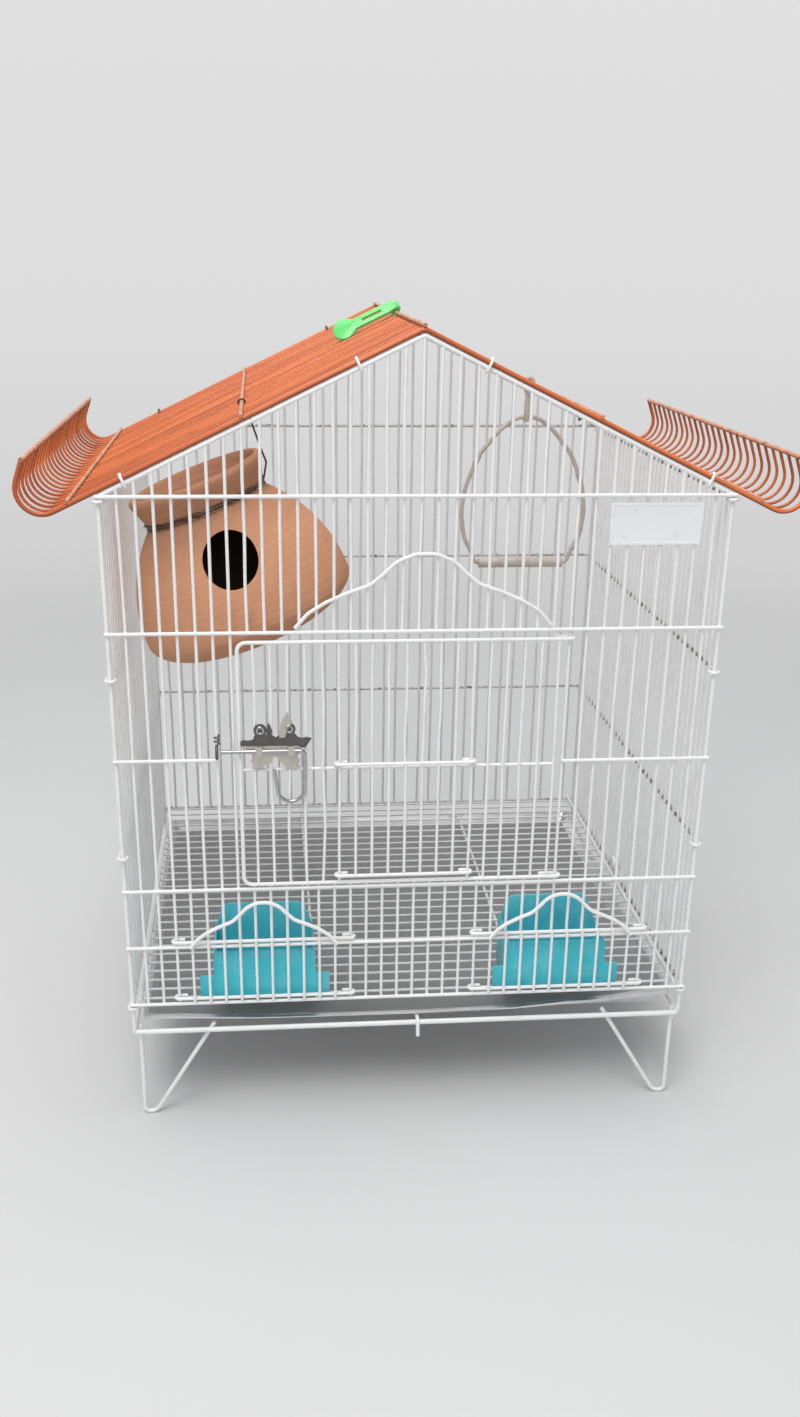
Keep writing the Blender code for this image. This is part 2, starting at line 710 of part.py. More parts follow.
def small_door(look):
    """Small door that slides up two uprights of the main door."""
    right, left = (door_wire_x(index) for index in SMALL_WIRES)
    guide_y = FRONT_Y + DOOR_Y
    hook_r = DOOR_WIRE_R + CLEAR + RAIL_R
    low, high = DOOR_FOOT_Z + SMALL_FOOT, DOOR_RAIL_Z + SMALL_HEAD
    levels = []
    for z in (low, high):
        path = list(reversed(round_wire_hook((left, guide_y), hook_r, -1, SMALL_TAIL, z)))
        path += round_wire_hook((right, guide_y), hook_r, 1, SMALL_TAIL, z)
        levels.append(path)
    y = guide_y - hook_r
    uprights = []
    for index in range(SMALL_WIRES[0] + 1, SMALL_WIRES[1]):
        x = door_wire_x(index)
        uprights.append([(x, y, low), (x, y, high)])
    door = combine(wires(levels, RAIL_R, Z), [wires(uprights, DOOR_WIRE_R, Y)])
    return finish(door, "small_door", look, (left, guide_y, low))


def latch_plate(look):
    """Sheet plate on the door: a bar with two eyelets above and two wings below."""
    z = BOLT_Z
    low, high, drop = z + PLATE_BAR_LOW, z + PLATE_BAR_TOP, z - PLATE_WING_DROP
    notch = z - PLATE_WING_DROP / 3
    shape = ((0.0, low), (0.0, high), (1.0, high), (1.0, (low + high) / 2), (0.88, low), (0.84, drop))
    shape += ((0.58, drop), (0.48, notch), (0.38, drop), (0.18, drop), (0.18, low))
    outline = [(PLATE_LEFT + share * PLATE_WIDTH, height) for share, height in shape]
    back = FRONT_Y + PLATE_BACK
    plate = prism(outline, back - PLATE_T, back)
    ears, holes = [], []
    for place in STRAP_PLACES:
        x, ear_z = PLATE_LEFT + place, z + EAR_RISE
        ear_low = (low + high) / 2
        ear = [(x - EAR_R, ear_low), (x + EAR_R, ear_low)]
        for k in range(9):
            angle = k * math.pi / 8
            ear.append((x + EAR_R * math.cos(angle), ear_z + EAR_R * math.sin(angle)))
        ears.append(prism(ear, back - PLATE_T, back))
        holes.append(rod((x, back - 3 * PLATE_T, ear_z), (x, back + PLATE_T, ear_z), EAR_HOLE_R, 10))
    plate = combine(combine(plate, ears), holes, "DIFFERENCE")
    return finish(plate, "latch_plate", look, (HINGE_X, FRONT_Y, z))


def latch_strap(place, name, look):
    """A saddle that holds the bolt against the plate."""
    z = BOLT_Z
    x = PLATE_LEFT + place
    back = FRONT_Y + PLATE_BACK - PLATE_T - CLEAR
    reach = BOLT_R + CLEAR + STRAP_WALL
    front = FRONT_Y + BOLT_Y - reach
    strap = box((x - STRAP_WIDTH / 2, front, z - reach), (x + STRAP_WIDTH / 2, back, z + reach + STRAP_WALL))
    y = FRONT_Y + BOLT_Y
    bore = rod((x - STRAP_WIDTH, y, z), (x + STRAP_WIDTH, y, z), BOLT_R + CLEAR, 12)
    return finish(combine(strap, [bore], "DIFFERENCE"), name, look, (HINGE_X, FRONT_Y, z))


def latch_bolt(look):
    """Sliding bolt: a straight rod with its end bent down into a finger hook."""
    y = FRONT_Y + BOLT_Y
    z = BOLT_Z
    elbow = PLATE_LEFT + BOLT_ELBOW
    tip_x = wire_x(KEEPER_WIRE) + BOLT_SHORT
    path = [Vector((tip_x, y, z))]
    path += reversed(bend((elbow - 2 * BOLT_R, y, z - 2 * BOLT_R), 2 * BOLT_R, 0, math.pi / 2, 2))
    path += bend((elbow - BOLT_TURN_R, y, z - BOLT_DROP), BOLT_TURN_R, 0, -math.pi * 0.85, 4)
    path.append(Vector((elbow + BOLT_TAIL[0], y, z + BOLT_TAIL[1])))
    bolt = wires([path], BOLT_R, Y, 8)
    return finish(bolt, "latch_bolt", look, (tip_x, y, z))


def latch_keeper(look):
    """Eye on a panel wire that the bolt's tip enters."""
    centre = (wire_x(KEEPER_WIRE), FRONT_Y + BOLT_Y, BOLT_Z)
    path = bend(centre, KEEPER_EYE_R, 0, 2 * math.pi, 10, Y, Z)
    return finish(wires([path], KEEPER_R, X, 6, closed=True), "latch_keeper", look, centre)


def arch_path(centre_x, half, base_z, rise, y):
    """The stepped bow of the decorative wires: shoulders, then a rounded crown."""
    shape = ((1.0, 0.0), (0.86, 0.17), (0.64, 0.34), (0.5, 0.54), (0.34, 0.62), (0.2, 0.86), (0.08, 0.98))
    right = [Vector((centre_x + half * u, y, base_z + rise * v)) for u, v in shape]
    left = [Vector((2 * centre_x - point.x, y, point.z)) for point in right]
    return left + list(reversed(right))


def door_arch(look):
    """Bow wire above the main door, against the front of the uprights."""
    y = FRONT_Y - WIRE_R - CLEAR - ARCH_R
    base = HEAD_Z + RAIL_R + ARCH_R + CLEAR
    left = wire_x(DOOR_WIRES[0])
    half = (HINGE_X - left) / 2 - ARCH_INSET
    path = arch_path((left + HINGE_X) / 2 + ARCH_SHIFT, half, base, ARCH_RISE, y)
    return finish(wires([path], ARCH_R, Y, 6), "door_arch", look, (0, y, base))


def feeder_door(guides, name, look):
    """Feeder door that slides up two panel wires, with its bow handle."""
    left, right = (wire_x(index) for index in guides)
    hook_r = WIRE_R + CLEAR + RAIL_R
    low, high = BOTTOM_Z + FEEDER_FOOT, FEEDER_Z + FEEDER_HEAD
    levels = []
    for z in (low, high):
        path = list(reversed(round_wire_hook((left, FRONT_Y), hook_r, -1, FEEDER_TAIL, z)))
        path += round_wire_hook((right, FRONT_Y), hook_r, 1, FEEDER_TAIL, z)
        levels.append(path)
    y = FRONT_Y - RAIL_OUT - RAIL_R - CLEAR - DOOR_WIRE_R
    uprights = []
    for index in range(guides[0] + 1, guides[1]):
        x = wire_x(index)
        uprights.append([(x, y, low - END_PAST), (x, y, high + END_PAST)])
    handle_y = y - DOOR_WIRE_R - HANDLE_R + WELD_BITE
    half = (right - left) / 2 - PITCH + HANDLE_R
    bow = arch_path((left + right) / 2, half, high - 2 * RAIL_R, HANDLE_RISE, handle_y)
    parts = [wires(uprights, DOOR_WIRE_R, Y), wires([bow], HANDLE_R, Y, 6)]
    door = combine(wires(levels, RAIL_R, Z), parts)
    return finish(door, name, look, (left, FRONT_Y, low))


def feeder_cup(guides, name, look):
    """Plastic cup standing on the grid behind its door, with a high rounded back."""
    middle = (wire_x(guides[0]) + wire_x(guides[1])) / 2
    base = grid_levels()[1] + GRID_WIRE_R + CLEAR
    front = FRONT_Y + WIRE_R + WIRE_STEP + CLEAR
    body = front + FLANGE_T / 2
    back = front + CUP_DEPTH
    lip, top = base + CUP_LIP_HEIGHT, base + CUP_BACK_HEIGHT
    half = CUP_WIDTH / 2
    side = [(body, base), (back, base), (back, top), (back - 2 * CUP_WALL, top), (body + CUP_SHOULDER, lip)]
    side += [(body, lip)]
    cup = prism(side, middle - half, middle + half, Y, Z, X)
    shoulder = []
    for sign in (1, -1):
        for k in range(5):
            angle = (k if sign > 0 else 4 - k) * math.pi / 8
            u = half - CUP_SHOULDER + CUP_SHOULDER * math.cos(angle)
            v = top - CUP_SHOULDER + CUP_SHOULDER * math.sin(angle)
            shoulder.append((middle + sign * u, v))
    front_view = [(middle + half, base - CUP_WALL)] + shoulder + [(middle - half, base - CUP_WALL)]
    outline = prism(front_view, front - CUP_WALL, back + CUP_WALL)
    cup = combine(cup, [outline], "INTERSECT")
    hollow = box(
        (middle - half + CUP_WALL, body + CUP_WALL, base + CUP_WALL),
        (middle + half - CUP_WALL, back - CUP_WALL, top + CUP_WALL),
    )
    cup = combine(cup, [hollow], "DIFFERENCE")
    flange_half = FLANGE_WIDTH / 2
    flange = box(
        (middle - flange_half, front, base),
        (middle + flange_half, front + FLANGE_T, base + FLANGE_HEIGHT),
    )
    return finish(combine(cup, [flange]), name, look, (middle, front, base), 30)


def sign_plate(look):
    """Bare sign plate against the front wires."""
    high = EAVE_Z - SIGN_DROP
    back = FRONT_Y - WIRE_R - CLEAR
    right = HALF_W - SIGN_INSET
    left = right - SIGN_WIDTH
    plate = box((left, back - SIGN_T, high - SIGN_HEIGHT), (right, back, high))
    return finish(plate, "sign_plate", look, (left, back, high), 30)


def swing_centre():
    """Where the swing hangs on the right purlin."""
    point = purlin(PURLIN_X)
    point.y = FRONT_Y + SWING_RIB * RIB_PITCH
    return point


def swing_hook(look):
    """Hook over the purlin with a thick stem that the swing's bow passes through."""
    centre = swing_centre()
    hook_r = RAIL_R + CLEAR + SWING_R
    neck = centre - Z * (SWING_DROP - SWING_STEM_LENGTH)
    path = [centre + Vector((hook_r, 0, -2 * SWING_R))]
    path += bend(centre, hook_r, 0, math.pi, 4)
    path += [centre + Vector((-hook_r, 0, -2 * SWING_R)), neck + Z * SWING_R, neck - Z * SWING_R]
    hook = wires([path], SWING_R, Y, 6)
    bottom = centre - Z * (SWING_DROP + SWING_R + CLEAR + SWING_STEM_R / 2)
    stem = wires([[neck, bottom]], SWING_STEM_R, Y, 10)
    eye_z = centre.z - SWING_DROP
    reach = 2 * SWING_STEM_R
    eye = rod((centre.x - reach, centre.y, eye_z), (centre.x + reach, centre.y, eye_z), SWING_R + CLEAR, 8)
    made = combine(combine(stem, [hook]), [eye], "DIFFERENCE")
    return finish(made, "swing_hook", look, centre)


def swing_bow_half():
    """Outline of half the swing's bow, as shares of its half width and its height."""
    shape = ((0.17, 0.0), (0.43, 0.09), (0.72, 0.24), (0.83, 0.34), (0.95, 0.48), (1.0, 0.64))
    return shape + ((0.95, 0.82), (SWING_FOOT_WIDTH / SWING_WIDTH, 0.94))


def swing_bow(look):
    """Bow of the swing: one wire whose two ends turn in to hold the perch."""
    centre = swing_centre()
    top = centre.z - SWING_DROP
    half = []
    for u, v in swing_bow_half():
        half.append(Vector((u * SWING_WIDTH / 2, 0, top - v * SWING_HEIGHT)))
    foot_z = top - SWING_HEIGHT
    inner = SWING_FOOT_WIDTH / 2 - SWING_R - PERCH_SOCKET
    half.append(Vector((SWING_FOOT_WIDTH / 2 - SWING_R, 0, foot_z)))
    half.append(Vector((inner, 0, foot_z)))
    base = Vector((centre.x, centre.y, 0))
    right = [base + point for point in half]
    left = [base + Vector((-point.x, 0, point.z)) for point in reversed(half)]
    return finish(wires([left + right], SWING_R, Y, 6), "swing_bow", look, centre)


def swing_perch(look):
    """Perch dowel with a socket in each end for the bow."""
    centre = swing_centre()
    z = centre.z - SWING_DROP - SWING_HEIGHT
    half = SWING_FOOT_WIDTH / 2 - 3 * SWING_R
    perch = rod((centre.x - half, centre.y, z), (centre.x + half, centre.y, z), PERCH_R, 12)
    sockets = []
    for side in (-1, 1):
        deep = SWING_FOOT_WIDTH / 2 - SWING_R - PERCH_SOCKET - CLEAR
        ends = ((centre.x + side * deep, centre.y, z), (centre.x + side * (half + SWING_R), centre.y, z))
        sockets.append(rod(ends[0], ends[1], SWING_R + CLEAR, 8))
    return finish(combine(perch, sockets, "DIFFERENCE"), "swing_perch", look, centre)


def pot_profile():
    """Outer half section of the pot, from the middle of its base to its rim."""
    belly = []
    for k in range(POT_RINGS + 1):
        turn = POT_BASE_CUT + (POT_NECK_CUT - POT_BASE_CUT) * k / POT_RINGS
        if turn < 0:
            radius = POT_BELLY_R * math.cos(turn) ** POT_LOWER_POWER
            rise = -POT_LOWER_R * math.sin(-turn) ** POT_LOWER_POWER
        else:
            radius = POT_BELLY_R * math.cos(turn) ** POT_UPPER_POWER
            rise = POT_UPPER_R * math.sin(turn)
        belly.append((radius, rise - POT_BELLY_DROP))
    neck = [(POT_NECK_R, POT_NECK_RISE), (POT_RIM_R, POT_RIM_RISE - POT_WALL), (POT_RIM_R, POT_RIM_RISE)]
    return belly + neck


def clay_pot(look):
    """Turned clay pot with an entrance hole, tilted on its side."""
    outer = pot_profile()
    floor = outer[0][1] + POT_WALL
    inner = [(radius - POT_WALL, max(rise, floor)) for radius, rise in reversed(outer[:-2])]
    profile = outer + [(POT_RIM_R - POT_WALL, POT_RIM_RISE)] + inner
    turn = Matrix.Rotation(-POT_TILT, 4, "Y")
    place = Matrix.Translation((POT_X, POT_Y, POT_Z)) @ turn
    shape = bmesh.new()
    rings = []
    for radius, rise in profile:
        ring = []
        for k in range(POT_SIDES):
            angle = 2 * math.pi * k / POT_SIDES
            ring.append(place @ Vector((radius * math.cos(angle), radius * math.sin(angle), rise)))
        rings.append(ring)
    skin(shape, rings)
    pot = from_bmesh(shape)
    x, z = POT_X + POT_HOLE_SHIFT, POT_Z + POT_HOLE_RISE
    hole = rod((x, POT_Y - 2 * POT_BELLY_R, z), (x, POT_Y, z), POT_HOLE_R, 20)
    return finish(combine(pot, [hole], "DIFFERENCE"), "clay_pot", look, (POT_X, POT_Y, POT_Z), 40)


def pot_tie(look):
    """Wire round the pot's neck with a hook over the left purlin."""
    turn = Matrix.Rotation(-POT_TILT, 4, "Y")
    place = Matrix.Translation((POT_X, POT_Y, POT_Z)) @ turn
    flare = math.atan2(POT_RIM_R - POT_NECK_R, POT_RIM_RISE - POT_WALL - POT_NECK_RISE)
    belly_r, belly_rise = pot_profile()[POT_RINGS]
    lean = math.atan2(belly_r - POT_NECK_R, POT_NECK_RISE - belly_rise)
    loop_r = POT_NECK_R + (TIE_R + CLEAR) / math.cos(max(flare, lean))
    loop = []
    for k in range(TIE_BENDS):
        angle = 2 * math.pi * k / TIE_BENDS
        reach = loop_r / math.cos(math.pi / TIE_BENDS)
        loop.append(place @ Vector((reach * math.cos(angle), reach * math.sin(angle), POT_NECK_RISE)))
    ring = wires([loop], TIE_R, turn @ Z, 6, closed=True)
    centre = purlin(-PURLIN_X)
    centre.y = POT_Y
    hook_r = RAIL_R + CLEAR + TIE_R
    past_rim = POT_RIM_R + TIE_R + 2 * CLEAR
    path = [centre + Vector((-hook_r, 0, -2 * TIE_R))]
    path += bend(centre, hook_r, math.pi, 0, 4)
    path.append(centre + Vector((hook_r, 0, -2 * TIE_R)))
    for rise in (POT_RIM_RISE + TIE_R, POT_RIM_RISE - 2 * POT_WALL):
        path.append(place @ Vector((past_rim, 0, rise)))
    path.append(place @ Vector((loop_r, 0, POT_NECK_RISE)))
    hanger = wires([path], TIE_R, Y, 6)
    return finish(combine(ring, [hanger]), "pot_tie", look, centre)


def roof_clip(place, y, out, name, look):
    """Clip bent round a gable border and the roof border that lies on it."""
    x = wire_x(place)
    lean = math.copysign(SLOPE, x)
    up = Vector((math.sin(lean), 0, math.cos(lean)))
    low = Vector((x, y, gable_z(x)))
    high = low + up * ROOF_LIFT
    hook_r = ROOF_BORDER_R + CLEAR + CLIP_R
    quarter = math.pi / 2
    path = [low + Y * (out * -hook_r) + up * ROOF_BORDER_R]
    path += bend(low, hook_r, 2 * quarter, 4 * quarter, 4, Y * out, up)
    path += bend(high, hook_r, 0, 2 * quarter, 4, Y * out, up)
    path += [high - Y * (out * hook_r) - up * (ROOF_BORDER_R / 4)]
    along = up.cross(Y)
    return finish(wires([path], CLIP_R, along, 6), name, look, low)


def ridge_clip(look):
    """Plastic clip that lies down the left slope and hooks over the ridge wire."""
    ridge = purlin(0.0)
    y = FRONT_Y + RIDGE_CLIP_RIB * RIB_PITCH
    down = Vector((-math.cos(SLOPE), 0, -math.sin(SLOPE)))
    up = Vector((-math.sin(SLOPE), 0, math.cos(SLOPE)))
    grip = RAIL_R + CLEAR
    outer = grip + RIDGE_CLIP_T
    outline = []
    step = RIDGE_CLIP_TURN / RIDGE_CLIP_BENDS
    angles = [math.pi / 2 - k * step for k in range(RIDGE_CLIP_BENDS + 1)]
    for angle in angles:
        outline.append((-outer * math.cos(angle), outer * math.sin(angle)))
    reach = grip / math.cos(step / 2)
    for angle in reversed(angles):
        outline.append((-reach * math.cos(angle), reach * math.sin(angle)))
    outline += [(RIDGE_CLIP_LENGTH, grip), (RIDGE_CLIP_LENGTH, outer)]
    half = RIDGE_CLIP_WIDTH / 2
    base = Vector((ridge.x, 0, ridge.z))
    clip = prism(outline, y - half, y + half, down, up)
    clip.data.transform(Matrix.Translation(base))
    head_centre = base + down * RIDGE_CLIP_LENGTH + Y * y
    head = wires([[head_centre + up * grip, head_centre + up * outer]], RIDGE_CLIP_HEAD_R, Y, 12)
    return finish(combine(clip, [head]), "ridge_clip", look, (ridge.x, y, ridge.z), 35)


def side_knob(look):
    """Plastic spool through a gap between two uprights of the right side panel."""
    y = FRONT_Y + KNOB_GAP * BODY_DEPTH / SIDE_GAPS
    z = BOTTOM_Z + KNOB_RISE
    inner = HALF_W - WIRE_STEP - WIRE_R - CLEAR
    outer = HALF_W + WIRE_R + CLEAR
    stem = rod((inner - CLEAR, y, z), (outer + CLEAR, y, z), KNOB_STEM_R, 12)
    heads = [
        rod((inner - KNOB_HEAD_T, y, z), (inner, y, z), KNOB_HEAD_R, 12),
        rod((outer, y, z), (outer + KNOB_HEAD_T, y, z), KNOB_HEAD_R, 12),
    ]
    return finish(combine(stem, heads), "side_knob", look, (HALF_W, y, z))


for old in list(bpy.data.objects):
    bpy.data.objects.remove(old)

WHITE = material("white_wire", (0.86, 0.87, 0.88), 0.35)
ORANGE = material("orange_wire", (0.90, 0.33, 0.06), 0.35)
STEEL = material("latch_steel", (0.55, 0.55, 0.56), 0.3, 1.0)
SHEET = material("latch_sheet", (0.35, 0.34, 0.33), 0.4, 1.0)
ZINC = material("tray_sheet", (0.62, 0.63, 0.64), 0.45, 1.0)
CYAN = material("cyan_plastic", (0.05, 0.55, 0.65), 0.4)
CLAY = material("terracotta", (0.62, 0.30, 0.17), 0.9)
GREEN = material("green_plastic", (0.10, 0.45, 0.20), 0.4)
PLAIN = material("white_plastic", (0.85, 0.86, 0.86), 0.45)
SIGN = material("sign_enamel", (0.75, 0.76, 0.78), 0.4)
TIE = material("tie_wire", (0.45, 0.44, 0.42), 0.4, 1.0)
PERCH = material("perch_plastic", (0.80, 0.80, 0.78), 0.5)

front_panel(WHITE)
back_panel(WHITE)
side_panel(-1, "left_side_panel", WHITE)
side_panel(1, "right_side_panel", WHITE)
roof_panel(ORANGE)
base_ring(WHITE)
for depth, y_side in (("front", -1), ("back", 1)):
    for hand, x_side in (("left", -1), ("right", 1)):
        foot(x_side, y_side, "foot_" + depth + "_" + hand, WHITE)
floor_grid(WHITE)
tray(ZINC)
main_door(WHITE)
small_door(WHITE)
latch_plate(SHEET)
latch_bolt(STEEL)
for strap_place, hand in zip(STRAP_PLACES, ("left", "right")):
    latch_strap(strap_place, "latch_strap_" + hand, SHEET)
latch_keeper(TIE)
for hand, guide_wires in (("left", LEFT_FEEDER_WIRES), ("right", RIGHT_FEEDER_WIRES)):
    feeder_door(guide_wires, "feeder_door_" + hand, WHITE)
    feeder_cup(guide_wires, "feeder_cup_" + hand, CYAN)
door_arch(WHITE)
sign_plate(SIGN)
swing_hook(TIE)
swing_bow(TIE)
swing_perch(PERCH)
clay_pot(CLAY)
pot_tie(TIE)
ridge_clip(GREEN)
side_knob(PLAIN)
for depth, plane_y, outward in (("front", FRONT_Y, -1), ("back", BACK_Y, 1)):
    for number, clip_place in enumerate(CLIP_WIRES, 1):
        roof_clip(clip_place, plane_y, outward, "roof_clip_" + depth + "_" + str(number), TIE)
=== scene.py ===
"""A house-shaped wire bird cage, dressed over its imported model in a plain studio."""

import math
import random

import bpy
from mathutils import Matrix, Vector


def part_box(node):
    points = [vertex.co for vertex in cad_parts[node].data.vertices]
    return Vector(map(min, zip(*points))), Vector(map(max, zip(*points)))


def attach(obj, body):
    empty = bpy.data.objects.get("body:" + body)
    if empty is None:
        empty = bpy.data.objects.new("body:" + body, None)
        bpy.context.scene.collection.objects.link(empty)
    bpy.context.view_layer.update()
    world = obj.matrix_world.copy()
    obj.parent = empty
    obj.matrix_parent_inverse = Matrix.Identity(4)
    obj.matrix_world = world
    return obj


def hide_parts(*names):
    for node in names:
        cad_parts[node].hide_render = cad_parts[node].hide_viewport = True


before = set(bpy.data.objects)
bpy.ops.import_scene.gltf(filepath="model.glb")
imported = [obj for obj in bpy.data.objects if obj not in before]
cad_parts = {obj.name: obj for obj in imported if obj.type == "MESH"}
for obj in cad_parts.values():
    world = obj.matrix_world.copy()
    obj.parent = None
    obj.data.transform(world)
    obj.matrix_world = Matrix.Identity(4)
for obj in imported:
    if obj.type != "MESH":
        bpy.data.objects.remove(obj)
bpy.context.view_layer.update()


# The photographer's table: pale seamless paper that lies flat under the cage and sweeps up behind
# it. It is lit like a small product studio, with one big soft lamp overhead and one by the camera.


class Shade:
    """A socket that varies over a surface. Python's operators on it add Math nodes."""

    def __init__(self, finish, socket):
        self.finish = finish
        self.socket = socket

    def math(self, operation, first, second, clamp=False):
        settings = {"operation": operation, "use_clamp": clamp}
        return self.finish.add("ShaderNodeMath", settings, {0: first, 1: second})

    def __add__(self, other):
        return self.math("ADD", self, other)

    def __radd__(self, other):
        return self.math("ADD", other, self)

    def __sub__(self, other):
        return self.math("SUBTRACT", self, other)

    def __rsub__(self, other):
        return self.math("SUBTRACT", other, self)

    def __mul__(self, other):
        return self.math("MULTIPLY", self, other)

    def __rmul__(self, other):
        return self.math("MULTIPLY", other, self)

    def above(self, level, spread):
        """0 below the level and 1 above it, with an edge as wide as the spread."""
        return self.math("DIVIDE", self - (level - spread / 2), spread, clamp=True)


class Finish:
    """One procedural material, drawn in the object's own coordinates."""

    def __init__(self, name, **constants):
        self.material = bpy.data.materials.new(name)
        self.material.use_nodes = True
        self.tree = self.material.node_tree
        self.shader = self.tree.nodes["Principled BSDF"]
        self.place = self.add("ShaderNodeTexCoord", {}, {}, "Object")
        for name, value in constants.items():
            self.shader.inputs[name.replace("_", " ")].default_value = value

    def add(self, kind, settings, values, output=0):
        """Add a node: its settings first, then the values or links of its sockets."""
        node = self.tree.nodes.new(kind)
        for name, setting in settings.items():
            if name == "stops":
                while len(node.color_ramp.elements) < len(setting):
                    node.color_ramp.elements.new(0.5)
                for element, (position, color) in zip(node.color_ramp.elements, setting):
                    element.position = position
                    element.color = (*color, 1.0)
            else:
                setattr(node, name, setting)
        for key, value in values.items():
            self.put(node.inputs[key], value)
        return Shade(self, node.outputs[output])

    def put(self, socket, value):
        if isinstance(value, Shade):
            self.tree.links.new(value.socket, socket)
        elif socket.type == "RGBA":
            socket.default_value = (*value, 1.0)
        else:
            socket.default_value = value

    def set(self, name, value):
        self.put(self.shader.inputs[name], value)

    def noise(self, scale, detail=4.0, rough=0.5, where=None):
        values = {"Vector": where or self.place, "Scale": scale, "Detail": detail, "Roughness": rough}
        return self.add("ShaderNodeTexNoise", {}, values)

    def blend(self, factor, first, second):
        settings = {"data_type": "RGBA", "clamp_factor": True}
        return self.add("ShaderNodeMix", settings, {0: factor, 6: first, 7: second}, 2)

    def stretch(self, scale, turn=(0, 0, 0)):
        values = {"Vector": self.place, "Rotation": turn, "Scale": scale}
        return self.add("ShaderNodeMapping", {}, values)

    def along(self, axis):
        """The place on one axis: 0, 1 or 2 for X, Y or Z."""
        return self.add("ShaderNodeSeparateXYZ", {}, {0: self.place}, axis)

    def paint(self, cloud, tones, *layers):
        """Two tones blended by a cloud, then each layer's colour laid over them through its mask."""
        color = self.blend(cloud, *tones)
        for mask, layer in layers:
            color = self.blend(mask, color, layer)
        self.set("Base Color", color)

    def mottle(self, cloud, tones, marks, spread, share, stain, rough, rougher):
        """Two cloudy tones under scattered marks of a third, which are also duller."""
        scale, detail, crumble, level = marks
        spots = self.noise(scale, detail, crumble).above(level, spread)
        self.paint(self.noise(*cloud), tones, (spots * share, stain))
        self.set("Roughness", rough + spots * rougher)

    def bump(self, height, depth, strength=1.0):
        """Relief of that depth in metres."""
        values = {"Height": height, "Distance": depth, "Strength": strength}
        self.set("Normal", self.add("ShaderNodeBump", {}, values))

    def shine_far(self, near, far, stops):
        """Far from the cage, let the camera and reflections see the paper evenly lit."""
        reach = self.add("ShaderNodeVectorMath", {"operation": "LENGTH"}, {0: self.place}, 1)
        rays = ["Is Camera Ray", "Is Glossy Ray", "Is Transmission Ray"]
        seen = sum(self.add("ShaderNodeLightPath", {}, {}, ray) for ray in rays)
        tone = self.add("ShaderNodeValToRGB", {"stops": stops}, {0: self.along(2) * 0.8})
        glow = self.add("ShaderNodeEmission", {}, {"Color": tone, "Strength": 1.0})
        factor = seen.math("MULTIPLY", seen, reach.above((near + far) / 2, far - near), clamp=True)
        lit = Shade(self, self.shader.outputs[0])
        both = self.add("ShaderNodeMixShader", {}, {0: factor, 1: lit, 2: glow})
        self.put(self.tree.nodes["Material Output"].inputs["Surface"], both)


def deselect():
    if bpy.context.object and bpy.context.object.mode != "OBJECT":
        bpy.ops.object.mode_set(mode="OBJECT")
    bpy.ops.object.select_all(action="DESELECT")


def pick(piece):
    """Select one piece alone and make it the active one."""
    deselect()
    piece.select_set(True)
    bpy.context.view_layer.objects.active = piece


def select_edges(mesh, chosen):
    """In edit mode, select the edges whose two ends a test accepts."""
    bpy.ops.mesh.select_mode(type="EDGE")
    bpy.ops.mesh.select_all(action="DESELECT")
    bpy.ops.object.mode_set(mode="OBJECT")
    for edge in mesh.edges:
        edge.select = chosen(*(mesh.vertices[index].co for index in edge.vertices))
    bpy.ops.object.mode_set(mode="EDIT")


paper_size, paper_back, paper_height, paper_sweep = (9.0, 7.0, 1.0), 3.1, 5.0, 1.6
deselect()
bpy.ops.mesh.primitive_plane_add(size=1, location=(0, paper_back - paper_size[1] / 2, 0))
paper = bpy.context.object
paper.name = "studio_paper"
paper.scale = paper_size
bpy.ops.object.transform_apply(location=True, rotation=False, scale=True)
bpy.ops.object.mode_set(mode="EDIT")
select_edges(paper.data, lambda a, b: min(a.y, b.y) > paper_back - 0.01)
bpy.ops.mesh.extrude_region_move(TRANSFORM_OT_translate={"value": (0, 0, paper_height)})
select_edges(paper.data, lambda a, b: min(a.y, b.y) > paper_back - 0.01 and max(a.z, b.z) < 0.01)
bpy.ops.mesh.bevel(offset=paper_sweep, segments=24)
bpy.ops.object.mode_set(mode="OBJECT")
bpy.ops.object.shade_smooth()
paper_look = Finish("studio_paper", Roughness=0.85, Specular_IOR_Level=0.2)
paper_look.paint(paper_look.noise(3.0, 2.0), ((0.655, 0.655, 0.657), (0.675, 0.675, 0.677)))
paper_stops = ((0.0, (0.64, 0.64, 0.645)), (0.35, (0.72, 0.72, 0.725)), (1.0, (0.75, 0.75, 0.75)))
paper_look.shine_far(0.8, 2.0, paper_stops)
paper.data.materials.append(paper_look.material)

lamps = (
    ("lamp_overhead", (-0.2, 0.1, 2.6), (0.0, 0.1, 0.2), 1.8, 26.0),
    ("lamp_camera", (-0.5, -1.5, 2.4), (0.0, 0.0, 0.35), 1.3, 36.0),
)
for name, spot, aim, size, power in lamps:
    deselect()
    bpy.ops.object.light_add(type="AREA", location=spot)
    lamp = bpy.context.object
    lamp.name = name
    lamp.data.size = size
    lamp.data.energy = power
    lamp.rotation_euler = (Vector(aim) - Vector(spot)).to_track_quat("-Z", "Y").to_euler()

world = bpy.data.worlds.new("studio_air")
bpy.context.scene.world = world
world.use_nodes = True
air = world.node_tree.nodes["Background"]
air.inputs["Color"].default_value = (0.97, 0.985, 1.0, 1.0)
air.inputs["Strength"].default_value = 0.44
bpy.context.scene.view_settings.view_transform = "Standard"

